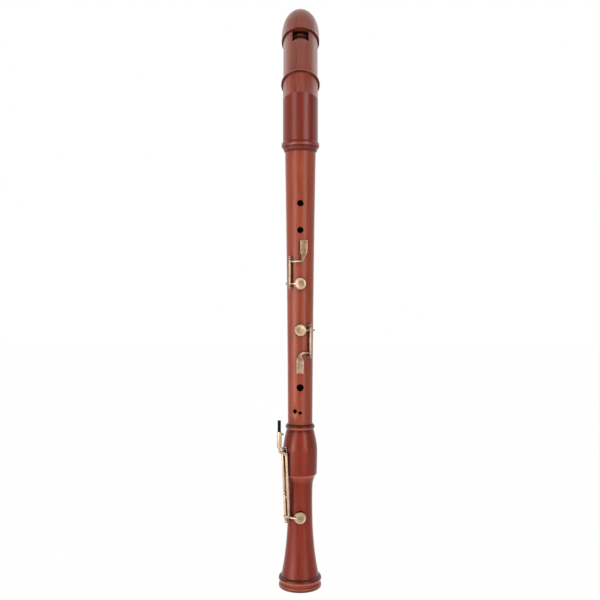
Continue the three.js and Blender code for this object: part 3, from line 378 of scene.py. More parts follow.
# Height and shade of the light and shade painted on the turnings
FOOT_LIGHT_AND_SHADE = [
    (0, 0.3), (1.2, 0.6), (5, 0.75), (6.2, 0.82), (8.6, 0.82), (9.6, 0.85), (11, 1), (12.7, 0.85),
    (14.4, 0.2), (16.6, 0.05), (17.4, 0), (18.6, 0.5), (157, 0.5), (166, 0.68), (168.2, 1), (169.4, 0.5),
    (230, 0.5), (233, 0.3), (235.4, 0.2), (236.4, 0.9), (237.6, 0.95), (238.8, 0.6), (240.2, 0.3), (241.6, 0),
    (243, 0.05),
]
KNEE_LIGHT_AND_SHADE = [
    (650, 0.1), (651.5, 0.4), (655, 0.4), (656.4, 0.15), (657.4, 0.5), (659, 0.65), (661, 0.5), (663.8, 0.2),
    (665, 0.5),
]
SOCKET_LIGHT_AND_SHADE = [
    (0, 0.5), (35.6, 0.5), (36.9, 0.1), (37.6, 0.4), (38.6, 0.6), (40, 0.8), (41, 0.3), (41.7, 0.1),
]
CAP_LIGHT_AND_SHADE = [(141, 0.2), (141.8, 0.25), (142.4, 0.5), (216, 0.5)]
FOOT_WOOD = stained_wood("stained_pear_foot", *FOOT_STAIN, rings=FOOT_LIGHT_AND_SHADE)
KNEE_WOOD = stained_wood("stained_pear_knee", *KNEE_STAIN, rings=KNEE_LIGHT_AND_SHADE)
SOCKET_WOOD = stained_wood("stained_pear_socket", *SOCKET_LIT_STAIN, rings=SOCKET_LIGHT_AND_SHADE, tilted=True)
HEAD_WOOD = stained_wood("stained_pear_head", *HEAD_LIT_STAIN, shaded_core=23, tilted=True)
CAP_WOOD = stained_wood("stained_pear_cap", *HEAD_LIT_STAIN, rings=CAP_LIGHT_AND_SHADE, shaded_core=23.3, tilted=True)
PALE_WOOD = stained_wood("stained_pear", *PALE_STAIN)
CEDAR = bare_cedar("cedar")
CORK = lapped_cork("cork")
BRASS = aged_brass("key_brass", (0.35, 0.235, 0.15), (0.21, 0.13, 0.072), 0.39)
FOOT_CUP_BRASS = aged_brass("key_brass_foot_cup", (0.44, 0.315, 0.2), (0.27, 0.18, 0.1), 0.42)
BRIGHT_BRASS = aged_brass("key_brass_bright", (0.66, 0.45, 0.31), (0.5, 0.335, 0.215), 0.36, 0.014)
STEEL = clouded(
    "steel", (400, 3), ((0.2, 0.2, 0.205), (0.3, 0.3, 0.3)), (0.1, 3000, 2), (0.25, 0.42), (0.06, 0.0002),
    Metallic=1,
)
KID = kid_leather("kid_leather")
RESIN = clouded(
    "black_resin", (500, 4), ((0.003, 0.003, 0.0035), (0.007, 0.0065, 0.006)), (0.2, 2000, 2), (0.5, 0.6),
    (0.02, 0.0001), Specular_IOR_Level=0.06,
)


# ---- Mesh making, in millimetres

CRISP = radians(32)  # edges that fold by more stay crisp
CORNER = radians(25)  # corners of a profile that turn by more are eased
EASE_STEPS = 3
FLOW_STEPS = 28
BEAD_STEPS = 16
SEAT_STEPS = 64


def smoothed(mesh, angle=CRISP):
    mesh.polygons.foreach_set("use_smooth", [True] * len(mesh.polygons))
    mesh.set_sharp_from_angle(angle=angle)


def mesh_object(name, points, faces, matrix=None):
    """A mesh in its own frame; matrix, in millimetres, carries that frame to the row's."""
    mesh = bpy.data.meshes.new(name)
    mesh.from_pydata([Vector(p) * MM for p in points], [], faces)
    mesh.validate()
    smoothed(mesh)
    made = bpy.data.objects.new(name, mesh)
    bpy.context.scene.collection.objects.link(made)
    if matrix is not None:
        placed = matrix.copy()
        placed.translation = placed.translation * MM
        made.matrix_world = placed
    return made


def loft(rings, closed=False, capped=True):
    """Points and faces of a skin over rings that all have the same number of points."""
    count = len(rings[0])
    points = [p for ring in rings for p in ring]
    faces = []
    pairs = list(zip(range(len(rings)), range(1, len(rings))))
    if closed:
        pairs.append((len(rings) - 1, 0))
    for a, b in pairs:
        for i in range(count):
            j = (i + 1) % count
            faces.append((a * count + i, a * count + j, b * count + j, b * count + i))
    if capped and not closed:
        faces.append(tuple(reversed(range(count))))
        faces.append(tuple(range((len(rings) - 1) * count, len(rings) * count)))
    return points, faces


def circle(radius, height, steps):
    return [
        (radius * cos(tau * i / steps), radius * sin(tau * i / steps), height)
        for i in range(steps)
    ]


def turned(profile, steps=ROUND_STEPS):
    """Points and faces turned on the Z axis from (radius, height) pairs, closed or ending on the axis."""
    closed = min(r for r, _ in profile) > 0
    if closed:
        return loft([circle(r, z, steps) for r, z in profile], closed=True)
    inner = [circle(r, z, steps) for r, z in profile if r > 0]
    points, faces = loft(inner, capped=False)
    for (r, z), ring, forward in ((profile[0], 0, False), (profile[-1], len(inner) - 1, True)):
        centre = len(points)
        points = points + [(0, 0, z)]
        for i in range(steps):
            a, b = ring * steps + i, ring * steps + (i + 1) % steps
            faces.append((a, b, centre) if forward else (b, a, centre))
    return points, faces


def eased(profile, ease=EASE):
    """The profile with each clear corner rounded."""
    result = []
    last = len(profile) - 1
    for i, (r, z) in enumerate(profile):
        here = Vector((r, z))
        before = Vector(profile[i - 1]) - here
        after = Vector(profile[(i + 1) % len(profile)]) - here
        on_axis_end = (i in (0, last)) and min(p[0] for p in profile) == 0
        room = min(before.length, after.length)
        if on_axis_end or room < 1e-6 or before.angle(-after) < CORNER:
            result.append((r, z))
            continue
        cut = min(ease, room * 0.45)
        start, end = here + before.normalized() * cut, here + after.normalized() * cut
        for step in range(EASE_STEPS + 1):
            t = step / EASE_STEPS
            result.append(tuple(start * (1 - t) ** 2 + here * (2 * t * (1 - t)) + end * t ** 2))
    return result


def between_knots(before, start, end, after, t):
    """A point of the smooth curve that runs from start to end, at the share t of the way."""
    return 0.5 * (
        2 * start + (end - before) * t
        + (2 * before - 5 * start + 4 * end - after) * t ** 2
        + (3 * start - before - 3 * end + after) * t ** 3
    )


def flowing(shares, start, end, steps=FLOW_STEPS):
    """Smooth (radius, height) pairs from start to end, through a table of shares of height and radius."""
    knots = [shares[0], *shares, shares[-1]]
    result = []
    spans = len(shares) - 1
    for step in range(steps + 1):
        place = step / steps * spans
        k = min(int(place), spans - 1)
        share = between_knots(*[Vector(p) for p in knots[k:k + 4]], place - k)
        result.append((start[0] + (end[0] - start[0]) * share.y, start[1] + (end[1] - start[1]) * share.x))
    return result


def bead(base, crest, low, high):
    turns = [pi * i / BEAD_STEPS for i in range(BEAD_STEPS + 1)]
    return [
        (base + (crest - base) * sin(turn), (low + high) / 2 - (high - low) / 2 * cos(turn))
        for turn in turns
    ]


def laid(start, end):
    """Matrix that carries the Z axis from the origin to the way from start to end."""
    way = (Vector(end) - Vector(start)).normalized()
    return Matrix.Translation(start) @ way.to_track_quat("Z", "Y").to_matrix().to_4x4()


def moved(shape, matrix):
    points, faces = shape
    return [tuple(matrix @ Vector(p)) for p in points], faces


def together(*shapes):
    points, faces = [], []
    for some_points, some_faces in shapes:
        faces += [tuple(i + len(points) for i in face) for face in some_faces]
        points += list(some_points)
    return points, faces


def rod(start, end, radius, steps=SMALL_STEPS, ease=0.25):
    length = (Vector(end) - Vector(start)).length
    profile = [(0, 0), (radius, 0), (radius, length), (0, length)]
    return moved(turned(eased(profile, min(ease, radius * 0.6)), steps), laid(start, end))


def box(low, high):
    (a, b, c), (d, e, f) = low, high
    points = [(a, b, c), (d, b, c), (d, e, c), (a, e, c), (a, b, f), (d, b, f), (d, e, f), (a, e, f)]
    faces = [(3, 2, 1, 0), (4, 5, 6, 7), (0, 1, 5, 4), (1, 2, 6, 5), (2, 3, 7, 6), (3, 0, 4, 7)]
    return points, faces


def carved(target, cutters):
    """Cuts each shape out of the target for good; the shapes are in the target's own frame."""
    tools = []
    for i, shape in enumerate(cutters):
        tool = mesh_object("%s_cutter_%d" % (target.name, i), *oriented(shape))
        tool.matrix_world = target.matrix_world
        tools.append(tool)
        cut = target.modifiers.new("cut_%d" % i, "BOOLEAN")
        cut.solver = "EXACT"
        cut.object = tool
    bake(target)
    for tool in tools:
        bpy.data.objects.remove(tool)
    return target


def bake(target, angle=CRISP):
    """Applies the modifiers and marks the edges that stay crisp."""
    bpy.context.view_layer.update()
    mesh = bpy.data.meshes.new_from_object(target.evaluated_get(bpy.context.evaluated_depsgraph_get()))
    target.modifiers.clear()
    target.data = mesh
    smoothed(mesh, angle)


def softened(target):
    smooth = target.modifiers.new("smooth", "SUBSURF")
    smooth.levels = smooth.render_levels = 2
    bake(target, radians(60))
    return target


def settled(target):
    """Carries the matrix into the mesh, so that the piece's box is its true one."""
    target.data.transform(target.matrix_world)
    target.matrix_world = Matrix.Identity(4)


def finished(target, material, body, slot, *nodes):
    settled(target)
    target.data.materials.clear()
    target.data.materials.append(material)
    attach(target, body)
    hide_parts(*nodes)
    return target


# ---- Turned joints


def lathed(name, outline, look, body, node, cutters=(), matrix=None, ease=EASE, slot="stained_wood_dark"):
    """A piece off the lathe: its corners eased, and its holes and flats cut."""
    made = mesh_object(name, *turned(eased(outline, ease)), matrix)
    if cutters:
        carved(made, cutters)
    return finished(made, look, body, slot, node)


HEAD_FRAME = Matrix.Translation((0, 0, KNEE_HEIGHT)) @ Matrix.Rotation(-HEAD_TILT, 4, "X")
MIDDLE_LOW_RADIUS = 18.45
MIDDLE_SWELL = 4.6
MIDDLE_STRAIGHT_SHARE = 0.4  # of the swell that is a straight cone
# A finger hole's rim: how far it has widened, and how far it stands from the skin of the wood
RIM = ((0, -0.35), (0.12, -0.1), (0.45, 0.1), (0.5, 3))
SEAT_LIP = 0.5
SEAT_CLEARANCE = 4
HOLE_STEPS = 48


def middle_radius(z):
    share = (z - FOOT_TOP) / (MIDDLE_TOP - FOOT_TOP)
    swell = MIDDLE_STRAIGHT_SHARE * share + (1 - MIDDLE_STRAIGHT_SHARE) * share ** 2
    return MIDDLE_LOW_RADIUS + MIDDLE_SWELL * swell


def finger_hole(x, z, radius, surface, side=-1):
    """A drilled hole whose rim is eased where it meets the round of the wood."""
    rings = []
    for grow, lift in ((0, -surface), *RIM):
        ring = []
        for i in range(HOLE_STEPS):
            turn = -side * tau * i / HOLE_STEPS
            dx, dz = (radius + grow) * cos(turn), (radius + grow) * sin(turn)
            skin = sqrt(surface ** 2 - (x + dx) ** 2)
            ring.append((x + dx, side * max(skin + lift, 0), z + dz))
        rings.append(ring)
    return loft(rings)


def seat_and_hole(x, z, surface, seat, seat_radius, hole_radius):
    """The flat milled for a pad, its hole, and the thin raised lip round the hole."""
    front = Matrix.Translation((x, 0, z)) @ Matrix.Rotation(pi / 2, 4, "X")
    lip, above = seat + SEAT_LIP, surface + SEAT_CLEARANCE
    flat = [
        (0, above), (seat_radius, above), (seat_radius, seat), (hole_radius + 2.1, seat),
        (hole_radius + 1.5, lip), (hole_radius + 0.25, lip), (hole_radius, lip - 0.3), (hole_radius, 0),
        (0, 0),
    ]
    return moved(turned(flat[::-1], SEAT_STEPS), front)


# Foot: (radius, height) at the ends of its curves, and how each curve runs between them
FOOT_BAND = [(30.4, 0), (31.8, 1.4), (31.9, 3), (31.7, 4.8), (30.9, 5.7), (28.3, 6.7), (28.3, 8.3)]
BELL_MOUTH, WAIST, BARREL_EDGE = (27.9, 17.5), (18.3, 128), (24.75, 168.4)
BARREL_FOOT, BARREL_CREST, BARREL_TOP = (25.1, 170.6), (25.8, 198), (20.7, 233.8)
BELL_SHARES = [(0, 0), (0.2, 0.4), (0.36, 0.64), (0.53, 0.82), (0.69, 0.93), (1, 1)]
NECK_SHARES = [(0, 0), (0.38, 0.03), (0.6, 0.09), (0.72, 0.2), (0.83, 0.41), (0.94, 0.68), (1, 1)]
RISE_SHARES = [(0, 0), (0.4, 0.6), (1, 1)]
BARREL_SHARES = [(0, 0), (0.25, 0.02), (0.5, 0.24), (0.75, 0.58), (1, 1)]
FOOT_BORE = [(15.6, FOOT_TOP), (15.3, 244.6), (15.3, 203), (10.4, 203), (9.6, 12), (10.2, 3), (11.1, 0.4)]
FOOT_SURFACE = 18.9  # radius at the foot key's cup and lower post
FOOT_SEAT_RADIUS, FOOT_HOLE_RADIUS = FOOT_CUP_RADIUS + 0.35, 5.6


def foot_joint():
    outside = [
        *FOOT_BAND, *bead(28.6, 32, 9, 17.4),
        *flowing(BELL_SHARES, BELL_MOUTH, WAIST), *flowing(NECK_SHARES, WAIST, BARREL_EDGE)[1:],
        (25.0, 169.3), *flowing(RISE_SHARES, BARREL_FOOT, BARREL_CREST, 8),
        *flowing(BARREL_SHARES, BARREL_CREST, BARREL_TOP)[1:], (19.9, 234.6), (19.7, 235.9),
        *bead(20.1, 21.9, 236.3, 242)[1:], (20.4, 242.2), (20.4, 242.8), (20.2, FOOT_TOP),
    ]
    sizes = FOOT_SURFACE, FOOT_SEAT, FOOT_SEAT_RADIUS, FOOT_HOLE_RADIUS
    seat = seat_and_hole(FOOT_CUP_SIDE, FOOT_CUP_HEIGHT, *sizes)
    lathed("foot_wood", outside + FOOT_BORE, FOOT_WOOD, "foot", "foot_joint", [seat], ease=0.6)


# Middle joint: (radius, height) round its tenons and the grooves for their cork
FOOT_TENON = [(10.6, 207), (15.02, 207), (15.02, 215), (13.72, 215), (13.72, 239), (15.02, 239)]
KNEE_TENON = [(20, 656.3), (18.7, 656.3), (18.7, 680.3), (20, 680.3), (20, 686.8), (16.4, 686.8)]
MIDDLE_STEPS = 40
# Sideways place, height and radius
FINGER_HOLES = ((0, 571.6, 4.8), (0, 532, 4.65), (0, 299, 5.3), (-7.6, 263.8, 2.9), (0, 261.7, 2.4))
THUMB_HOLE = (0, 586, 4.3)


def middle_joint():
    low, high = FOOT_TOP + SEAT_GAP, MIDDLE_TOP - SEAT_GAP
    heights = [low + (high - low) * i / MIDDLE_STEPS for i in range(MIDDLE_STEPS + 1)]
    outside = [
        *FOOT_TENON, (FOOT_TENON[-1][0], low), *[(middle_radius(z), z) for z in heights],
        (KNEE_TENON[0][0], high), *KNEE_TENON,
    ]
    holes = [finger_hole(x, z, radius, middle_radius(z)) for x, z, radius in FINGER_HOLES]
    holes.append(finger_hole(*THUMB_HOLE, middle_radius(THUMB_HOLE[1]), side=1))
    for key in KEYS:
        surface = middle_radius(key["cup_z"])
        sizes = surface, surface - SEAT_DEPTH, key["cup_radius"] + PAD_GAP, key["hole_radius"]
        holes.append(seat_and_hole(key["cup_x"], key["cup_z"], *sizes))
    lathed("middle_wood", outside, PALE_WOOD, "middle", "middle_joint", holes, slot="stained_wood")


# Knee: (radius, height); both halves run on past the mitre, where the cut takes off the rest
KNEE_OUTSIDE = [
    (24.2, 650.3), (26.5, 655.8), (26.2, 656.5), *bead(27.5, 28.45, 656.7, 663.5), (26.8, 663.8),
    (26.35, 664.5), (26.35, 752),
]
KNEE_BORE = [(17.2, 752), (17.2, 690), (20.3, 690), (20.3, 650.9), (20.7, 650.3)]
SOCKET_OUTSIDE = [
    (26.35, -26), (26.35, 36.4), (26.6, 37), (28.9, 37.1), *bead(29, 29.65, 37.2, 40.6), (28, 41.2),
    (27, 41.5),
]
SOCKET_BORE = [(21.9, 41.5), (21.7, 41.2), (21.7, 12), (17.2, 12), (17.2, -26)]


def mitre(side, height):
    size = 400
    slab = box((-size, -size, min(0, side * size)), (size, size, max(0, side * size)))
    turn = Matrix.Rotation(-side * HEAD_TILT / 2, 4, "X")
    gap = Matrix.Translation((0, 0, -side * GLUE_GAP / 2))
    return moved(slab, Matrix.Translation((0, 0, height)) @ turn @ gap)


def knee():
    low, high = KNEE_OUTSIDE + KNEE_BORE, SOCKET_OUTSIDE + SOCKET_BORE
    lathed("knee_lower_wood", low, KNEE_WOOD, "knee", "knee_lower_half", [mitre(1, KNEE_HEIGHT)], ease=0.5)
    lathed("knee_upper_wood", high, SOCKET_WOOD, "knee", "knee_upper_half", [mitre(-1, 0)], HEAD_FRAME)


# Head, with heights along its own bore from the bend
HEAD_TENON = [
    (17.5, 13.2), (21.4, 13.2), (21.4, 19.2), (20.1, 19.2), (20.1, 37.2), (21.4, 37.2), (21.4, 41.7),
    (26.1, 41.7), (26.35, 50),
]
HEAD_LOW, HEAD_HIGH, SLEEVE_TOP = (26.6, 61.7), (27.5, 141.3), 187
SLEEVE = [
    (22.5, 141.3), (22.5, 150.5), (21.6, 150.5), (21.6, 168.5), (22.5, 168.5), (22.5, SLEEVE_TOP),
    (17.5, SLEEVE_TOP),
]
WINDOW_HALF = 12.7
LABIUM_EDGE, LABIUM_RADIUS = 133.8, 18.5
RAMP_START, RAMP_RADIUS = 112.4, 27.35
WINDWAY_HALF, WINDWAY_ROOF, WINDWAY_FLOOR = 12.5, 19.6, 17.2
BLOCK_LINE = 142
BLOCK = [(0, BLOCK_LINE), (16.4, BLOCK_LINE), (17.25, BLOCK_LINE + 0.9), (17.25, SLEEVE_TOP), (0, SLEEVE_TOP)]
ARCH_STEPS = 24


def window_cutters():
    """The windway's arch, the window, and the ramp that leads up to the edge."""
    arch = []
    half = asin(WINDWAY_HALF / WINDWAY_ROOF)
    turns = [-half + 2 * half * i / ARCH_STEPS for i in range(ARCH_STEPS + 1)]
    for height in (LABIUM_EDGE, SLEEVE_TOP + 5):
        roof = [(WINDWAY_ROOF * sin(t), -WINDWAY_ROOF * cos(t), height) for t in turns]
        floor = [(WINDWAY_FLOOR * sin(t), -WINDWAY_FLOOR * cos(t), height) for t in reversed(turns)]
        arch.append(roof + floor)
    window = box((-WINDOW_HALF, -34, LABIUM_EDGE), (WINDOW_HALF, -9, BLOCK_LINE))
    ramp = []
    across = [-WINDOW_HALF + 2 * WINDOW_HALF * i / ARCH_STEPS for i in range(ARCH_STEPS + 1)]
    for height, radius in ((RAMP_START, RAMP_RADIUS), (LABIUM_EDGE + 0.02, LABIUM_RADIUS)):
        floor = [(x, -sqrt(radius ** 2 - x ** 2), height) for x in across]
        ramp.append(floor + [(x, -40, height) for x in reversed(across)])
    return [loft(arch), window, loft(ramp)]


def head_joint():
    flare = flowing([(0, 0), (1, 1)], HEAD_LOW, HEAD_HIGH, 12)
    outside = HEAD_TENON + flare + SLEEVE
    lathed("head_wood", outside, HEAD_WOOD, "head", "head_joint", window_cutters(), HEAD_FRAME)
    lathed("block_cedar", BLOCK, CEDAR, "head", "head_block", (), HEAD_FRAME, 0.2, "cedar")


# Cap: a straight rim, then a dome a little squarer than an ellipse
CAP_RIM, CAP_RADIUS = 141.5, 30.2
DOME_START, DOME_RISE, DOME_POWER, DOME_STEPS = 155.5, 60.5, 2.3, 48
CAP_INSIDE = [(0, 198), (8, 198), (19, 188.4), (22.8, 188.4), (22.8, CAP_RIM + 0.3), (23.1, CAP_RIM)]
MOUTH_LOW, MOUTH_HIGH = (-7.5, -9.5, 192), (7.5, -6)
# The beak: a round hollow cut, from its lip at the tip to its heel at the back
BEAK_LIP, BEAK_HEEL, BEAK_RADIUS, BEAK_HALF = (-1.5, 0), (26.5, -26), 45, 40


def cap():
    outside = [(29.8, CAP_RIM), (CAP_RADIUS, CAP_RIM + 0.5), (CAP_RADIUS, DOME_START)]
    for i in range(1, DOME_STEPS):
        out, up = [way(pi / 2 * i / DOME_STEPS) ** (2 / DOME_POWER) for way in (cos, sin)]
        outside.append((CAP_RADIUS * out, DOME_START + DOME_RISE * up))
    tip = DOME_START + DOME_RISE
    wood = mesh_object("cap_wood", *turned([*CAP_INSIDE, *outside, (0, tip)]), HEAD_FRAME)
    mouth = box(MOUTH_LOW, (*MOUTH_HIGH, tip + 6))
    lip, heel = Vector((0, tip)) + Vector(BEAK_LIP), Vector((0, tip)) + Vector(BEAK_HEEL)
    chord = heel - lip
    out = Vector((-chord.y, chord.x)).normalized()
    centre = (lip + heel) / 2 + out * sqrt(BEAK_RADIUS ** 2 - chord.length_squared / 4)
    drum = turned([(0, -BEAK_HALF), (BEAK_RADIUS, -BEAK_HALF), (BEAK_RADIUS, BEAK_HALF), (0, BEAK_HALF)], 240)
    across = Matrix.Translation((0, centre.x, centre.y)) @ Matrix.Rotation(pi / 2, 4, "Y")
    carved(wood, [mouth, moved(drum, across)])
    finished(wood, CAP_WOOD, "cap", "stained_wood_dark", "cap")


def corks():
    for node in ("foot_tenon_cork", "knee_tenon_cork", "head_tenon_cork", "cap_cork"):
        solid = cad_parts[node]
        solid.data.materials.clear()
        solid.data.materials.append(CORK)
        smoothed(solid.data, radians(35))


# ---- Keys of the middle joint

KEYS = [
    {"name": "upper_key", "side": -1, "rise": 1, "cup_z": 452.9, "cup_x": 0.7, "cup_radius": 8.8,
     "hole_radius": 4.6, "arm_z": 485.6, "low_post": 447.4, "high_post": 490, "spine_x": 4.4, "corner": 3.2,
     "near": [(3.2, 1.4), (8.6, 1.4), (11.8, 3.2), (31, 3.2)],
     "far": [(3.2, 2.3), (5.1, 2.7), (8, 4.4), (11.5, 5.9), (15, 6.7), (19.8, 7), (31, 7)]},
    {"name": "lower_key", "side": 1, "rise": -1, "cup_z": 384.2, "cup_x": -0.7, "cup_radius": 8.6,
     "hole_radius": 4.8, "arm_z": 350.9, "low_post": 344.4, "high_post": 390.6, "spine_x": -0.3,
     "corner": 4.6, "near": [(4.6, 1.4), (5.6, 1.4), (10.9, 4.1), (30, 4.1)],
     "far": [(4.6, 3.2), (7, 4.6), (9.5, 6.1), (30, 6.1)]},
]


ARM_STEPS, CORNER_STEPS, TOUCH_STEPS = 8, 6, 30
TOUCH_END = (0.9, 0.45, 0.05, 0)  # the last few sections, before the touch's end
DISH_DEPTH = 0.75
WAIST_START = 0.6  # share of a cup arm at which it begins to narrow
CUP_STEPS = 72
# Share of the pad's radius, and how far the face lies back from its seat there
PAD_FACE = ((0, 0.42), (0.35, 0.4), (0.52, 0.55), (0.6, 0.55), (0.72, 0.35), (0.9, 0.4), (1, 0.9))
PAD_SIDE_GAP, PAD_BACK_GAP, PAD_FILL = 0.15, 0.2, 0.8
POST_FOOT = [(0, 0), (2.1, 0), (2.1, 1.1), (1.95, 1.45), (1.35, 1.75)]
POST_SINK, POST_NECK, POST_NECK_LOW, BALL_STEPS = 1, 1.15, 1.8, 14
SLOT_DEPTH, SLOT_WIDTH = 0.45, 0.42
TUBE_GAP = 0.25
TAIL_REACH, TAIL_RADIUS = 4.4, 1.4
HOOK_REACH, HOOK_RADIUS = 1.35, 0.75
PIN_BEFORE, PIN_BEYOND = 0.3, 1.3
# Screws: radius and height of the head, radius of the shank
KEY_PIN, FOOT_KEY_PIN = (1.62, 1, 0.9), (1.44, 1, 0.8)
CLAMP_SCREW, WOOD_SCREW = (1.9, 1.5, 0.9), (2.2, 1, 1.1)
NEEDLE_RADIUS, NEEDLE_STEPS, NEEDLE_SIDE, NEEDLE_START, NEEDLE_PAST = 0.35, 16, 1.2, 1.65, 1.5
# Cup arms: number of sections, and how much narrower the end is
MIDDLE_CUP_ARM, FOOT_CUP_ARM = (12, 0.45), (16, 0.5)
CUP_ARM_PAST, CUP_ARM_SUNK = 0.6, 0.15


def between(table, place):
    for (a, low), (b, high) in zip(table, table[1:]):
        if place <= b:
            return low + (high - low) * (place - a) / (b - a)
    return table[-1][1]


def hinge_place(key, z):
    reach = middle_radius((key["low_post"] + key["high_post"]) / 2) + HINGE_STANDOFF
    return Vector((key["side"] * HINGE_SIDE, -sqrt(reach ** 2 - HINGE_SIDE ** 2), z))


def open_matrix(key):
    pin = hinge_place(key, 0)
    swing = Matrix.Rotation(key["side"] * KEY_OPENING, 4, "Z")
    return Matrix.Translation(pin) @ swing @ Matrix.Translation(-pin)


def wrapped(x, z, lift, inner):
    """A point of a sheet that bends round the bore: x as seen from the front, lift above the inner face."""
    turn = asin(max(-1, min(1, x / (inner + LEVER_THICKNESS / 2))))
    return ((inner + lift) * sin(turn), -(inner + lift) * cos(turn), z)


def section(left, right, dish, ease=0.45, rim=0.9):
    """Outline across a lever, from its left edge to its right, with a dish let into the top."""
    top = LEVER_THICKNESS
    inner_left, inner_right = -left + rim, right - rim
    return [
        (-left + ease, 0), (-left / 3, 0), (right / 3, 0), (right - ease, 0), (right, ease),
        (right, top - ease), (right - ease, top), (inner_right + 0.1, top),
        (inner_right - 0.25, top - dish * 0.75),
        (inner_right / 2, top - dish), (inner_left / 2, top - dish),
        (inner_left + 0.25, top - dish * 0.75), (inner_left - 0.1, top), (-left + ease, top),
        (-left, top - ease), (-left, ease),
    ]


def lever(key, inner):
    """The touch with its neck and arm, as one strip bent round the bore."""
    side, rise, corner = key["side"], key["rise"], key["corner"]
    spine, arm_z, near, far = key["spine_x"], key["arm_z"], key["near"], key["far"]
    half = LEVER_WIDTH / 2
    stations = []
    start, stop = hinge_place(key, 0).x - side * 0.5, spine + side * corner
    for i in range(ARM_STEPS + 1):
        x = start + (stop - start) * i / ARM_STEPS
        stations.append(((x, arm_z), (0, rise), half, half, 0))
    for i in range(1, CORNER_STEPS + 1):
        turn = pi / 2 * i / CORNER_STEPS
        x = stop - side * corner * sin(turn)
        z = arm_z + rise * corner * (1 - cos(turn))
        across = (side * sin(turn), rise * cos(turn))
        reach = half + (far[0][1] - half) * i / CORNER_STEPS
        stations.append(((x, z), across, half, reach, 0))
    broad, end = near[2][0], near[-1][0]
    runs = [corner + (end - corner) * i / TOUCH_STEPS for i in range(1, TOUCH_STEPS)]
    for run in [*runs, *[end - short for short in TOUCH_END]]:
        depth = DISH_DEPTH * max(0, min(1, (run - broad + 4) / 3, (end - run - 0.7) / 0.5))
        wide = between(near, run), between(far, run)
        stations.append(((spine, arm_z + rise * run), (side, 0), *wide, depth))
    rings = [
        [wrapped(x - ax * t, z - az * t, lift, inner) for t, lift in section(left, right, depth)]
        for (x, z), (ax, az), left, right, depth in stations
    ]
    return oriented(loft(rings))


def oriented(shape):
    """The same shape with its faces turned outwards."""
    points, faces = shape
    volume = 0
    for face in faces:
        a = Vector(points[face[0]])
        for i in range(1, len(face) - 1):
            volume += a.dot(Vector(points[face[i]]).cross(Vector(points[face[i + 1]])))
    return (points, faces) if volume > 0 else (points, [tuple(reversed(face)) for face in faces])


def cup_arm(start, end, height, inner, steps, taper):
    """A strip bent round the bore, from the hinge to the middle of a cup, where it narrows."""
    rings = []
    for i in range(steps + 1):
        t = i / steps
        half = LEVER_WIDTH / 2 * (1 - taper * max(0, t - WAIST_START) / (1 - WAIST_START))
        x = start + (end - start) * t
        rings.append([wrapped(x, height + across, lift, inner) for across, lift in section(half, half, 0)])
    return oriented(loft(rings))


def pad_cup(x, z, seat_y, radius):
    roof, side = PAD_THICKNESS, radius - CUP_WALL
    top, rim = roof + CUP_WALL, roof + CUP_WALL - CUP_HEIGHT
    profile = [
        (0, roof), (side, roof), (side, rim), (radius, rim), (radius, top), (radius * 0.97, top + 0.25),
        (radius * 0.87, top + 0.25), (radius * 0.8, top - 0.1), (radius * 0.5, top + CUP_CROWN * 0.4),
        (radius * 0.25, top + CUP_CROWN * 0.7), (0, top + CUP_CROWN * 0.8),
    ]
    return moved(turned(eased(profile, 0.3), CUP_STEPS), laid((x, seat_y, z), (x, seat_y - 1, z)))


def pad(name, x, z, seat_y, radius, matrix, body, node):
    """A kid pad with the ring that the lip round its hole has pressed into it."""
    side, back = radius - CUP_WALL - PAD_SIDE_GAP, PAD_THICKNESS - PAD_BACK_GAP
    profile = eased([*[(side * share, face) for share, face in PAD_FACE], (side, back), (0, back)], 0.3)
    seat = matrix @ laid((x, seat_y, z), (x, seat_y - 1, z))
    made = mesh_object(name, *moved(turned(profile, SEAT_STEPS), seat))
    finished(made, KID, body, "pad_leather", node)


def brass(name, shape, body, node, look=BRASS, soft=False):
    made = mesh_object(name, *shape)
    return finished(softened(made) if soft else made, look, body, "key_brass", node)


def ball_post(point, surface, ball):
    """A ball on a waisted stem with a small foot, standing out from the bore."""
    across = Vector((point.x, point.y, 0))
    out = across.normalized()
    base = Vector((out.x * (surface - POST_SINK), out.y * (surface - POST_SINK), point.z))
    rise = across.length - surface + POST_SINK
    begin = asin(POST_NECK / ball)
    profile = [*POST_FOOT, (POST_NECK, max(POST_NECK_LOW, rise - ball * cos(begin) - 0.1))]
    for i in range(BALL_STEPS + 1):
        turn = (pi - begin) * (1 - i / BALL_STEPS)
        profile.append((ball * sin(turn) if i < BALL_STEPS else 0, rise + ball * cos(turn)))
    return moved(turned(profile, SMALL_STEPS), laid(base, point))


def screw(name, start, end, radius, height, shank, body, node):
    """A steel pin with a slotted head at its far end."""
    start, top = Vector(start), Vector(end)
    way = (top - start).normalized()
    neck = top - way * height
    profile = eased([(0, 0), (radius, 0), (radius, height * 0.7), (radius * 0.8, height), (0, height)], 0.15)
    head = moved(turned(profile, SMALL_STEPS), laid(neck, top))
    made = mesh_object(name, *together(rod(start, neck + way * 0.1, shank), head))
    slot = box((-radius * 1.4, -SLOT_WIDTH / 2, -SLOT_DEPTH), (radius * 1.4, SLOT_WIDTH / 2, 1))
    carved(made, [moved(slot, laid(top, top + top - start))])
    return finished(made, STEEL, body, "steel", node)


def needle_spring(name, start, end, body, node):
    made = mesh_object(name, *rod(start, end, NEEDLE_RADIUS, NEEDLE_STEPS))
    return finished(made, STEEL, body, "steel", node)


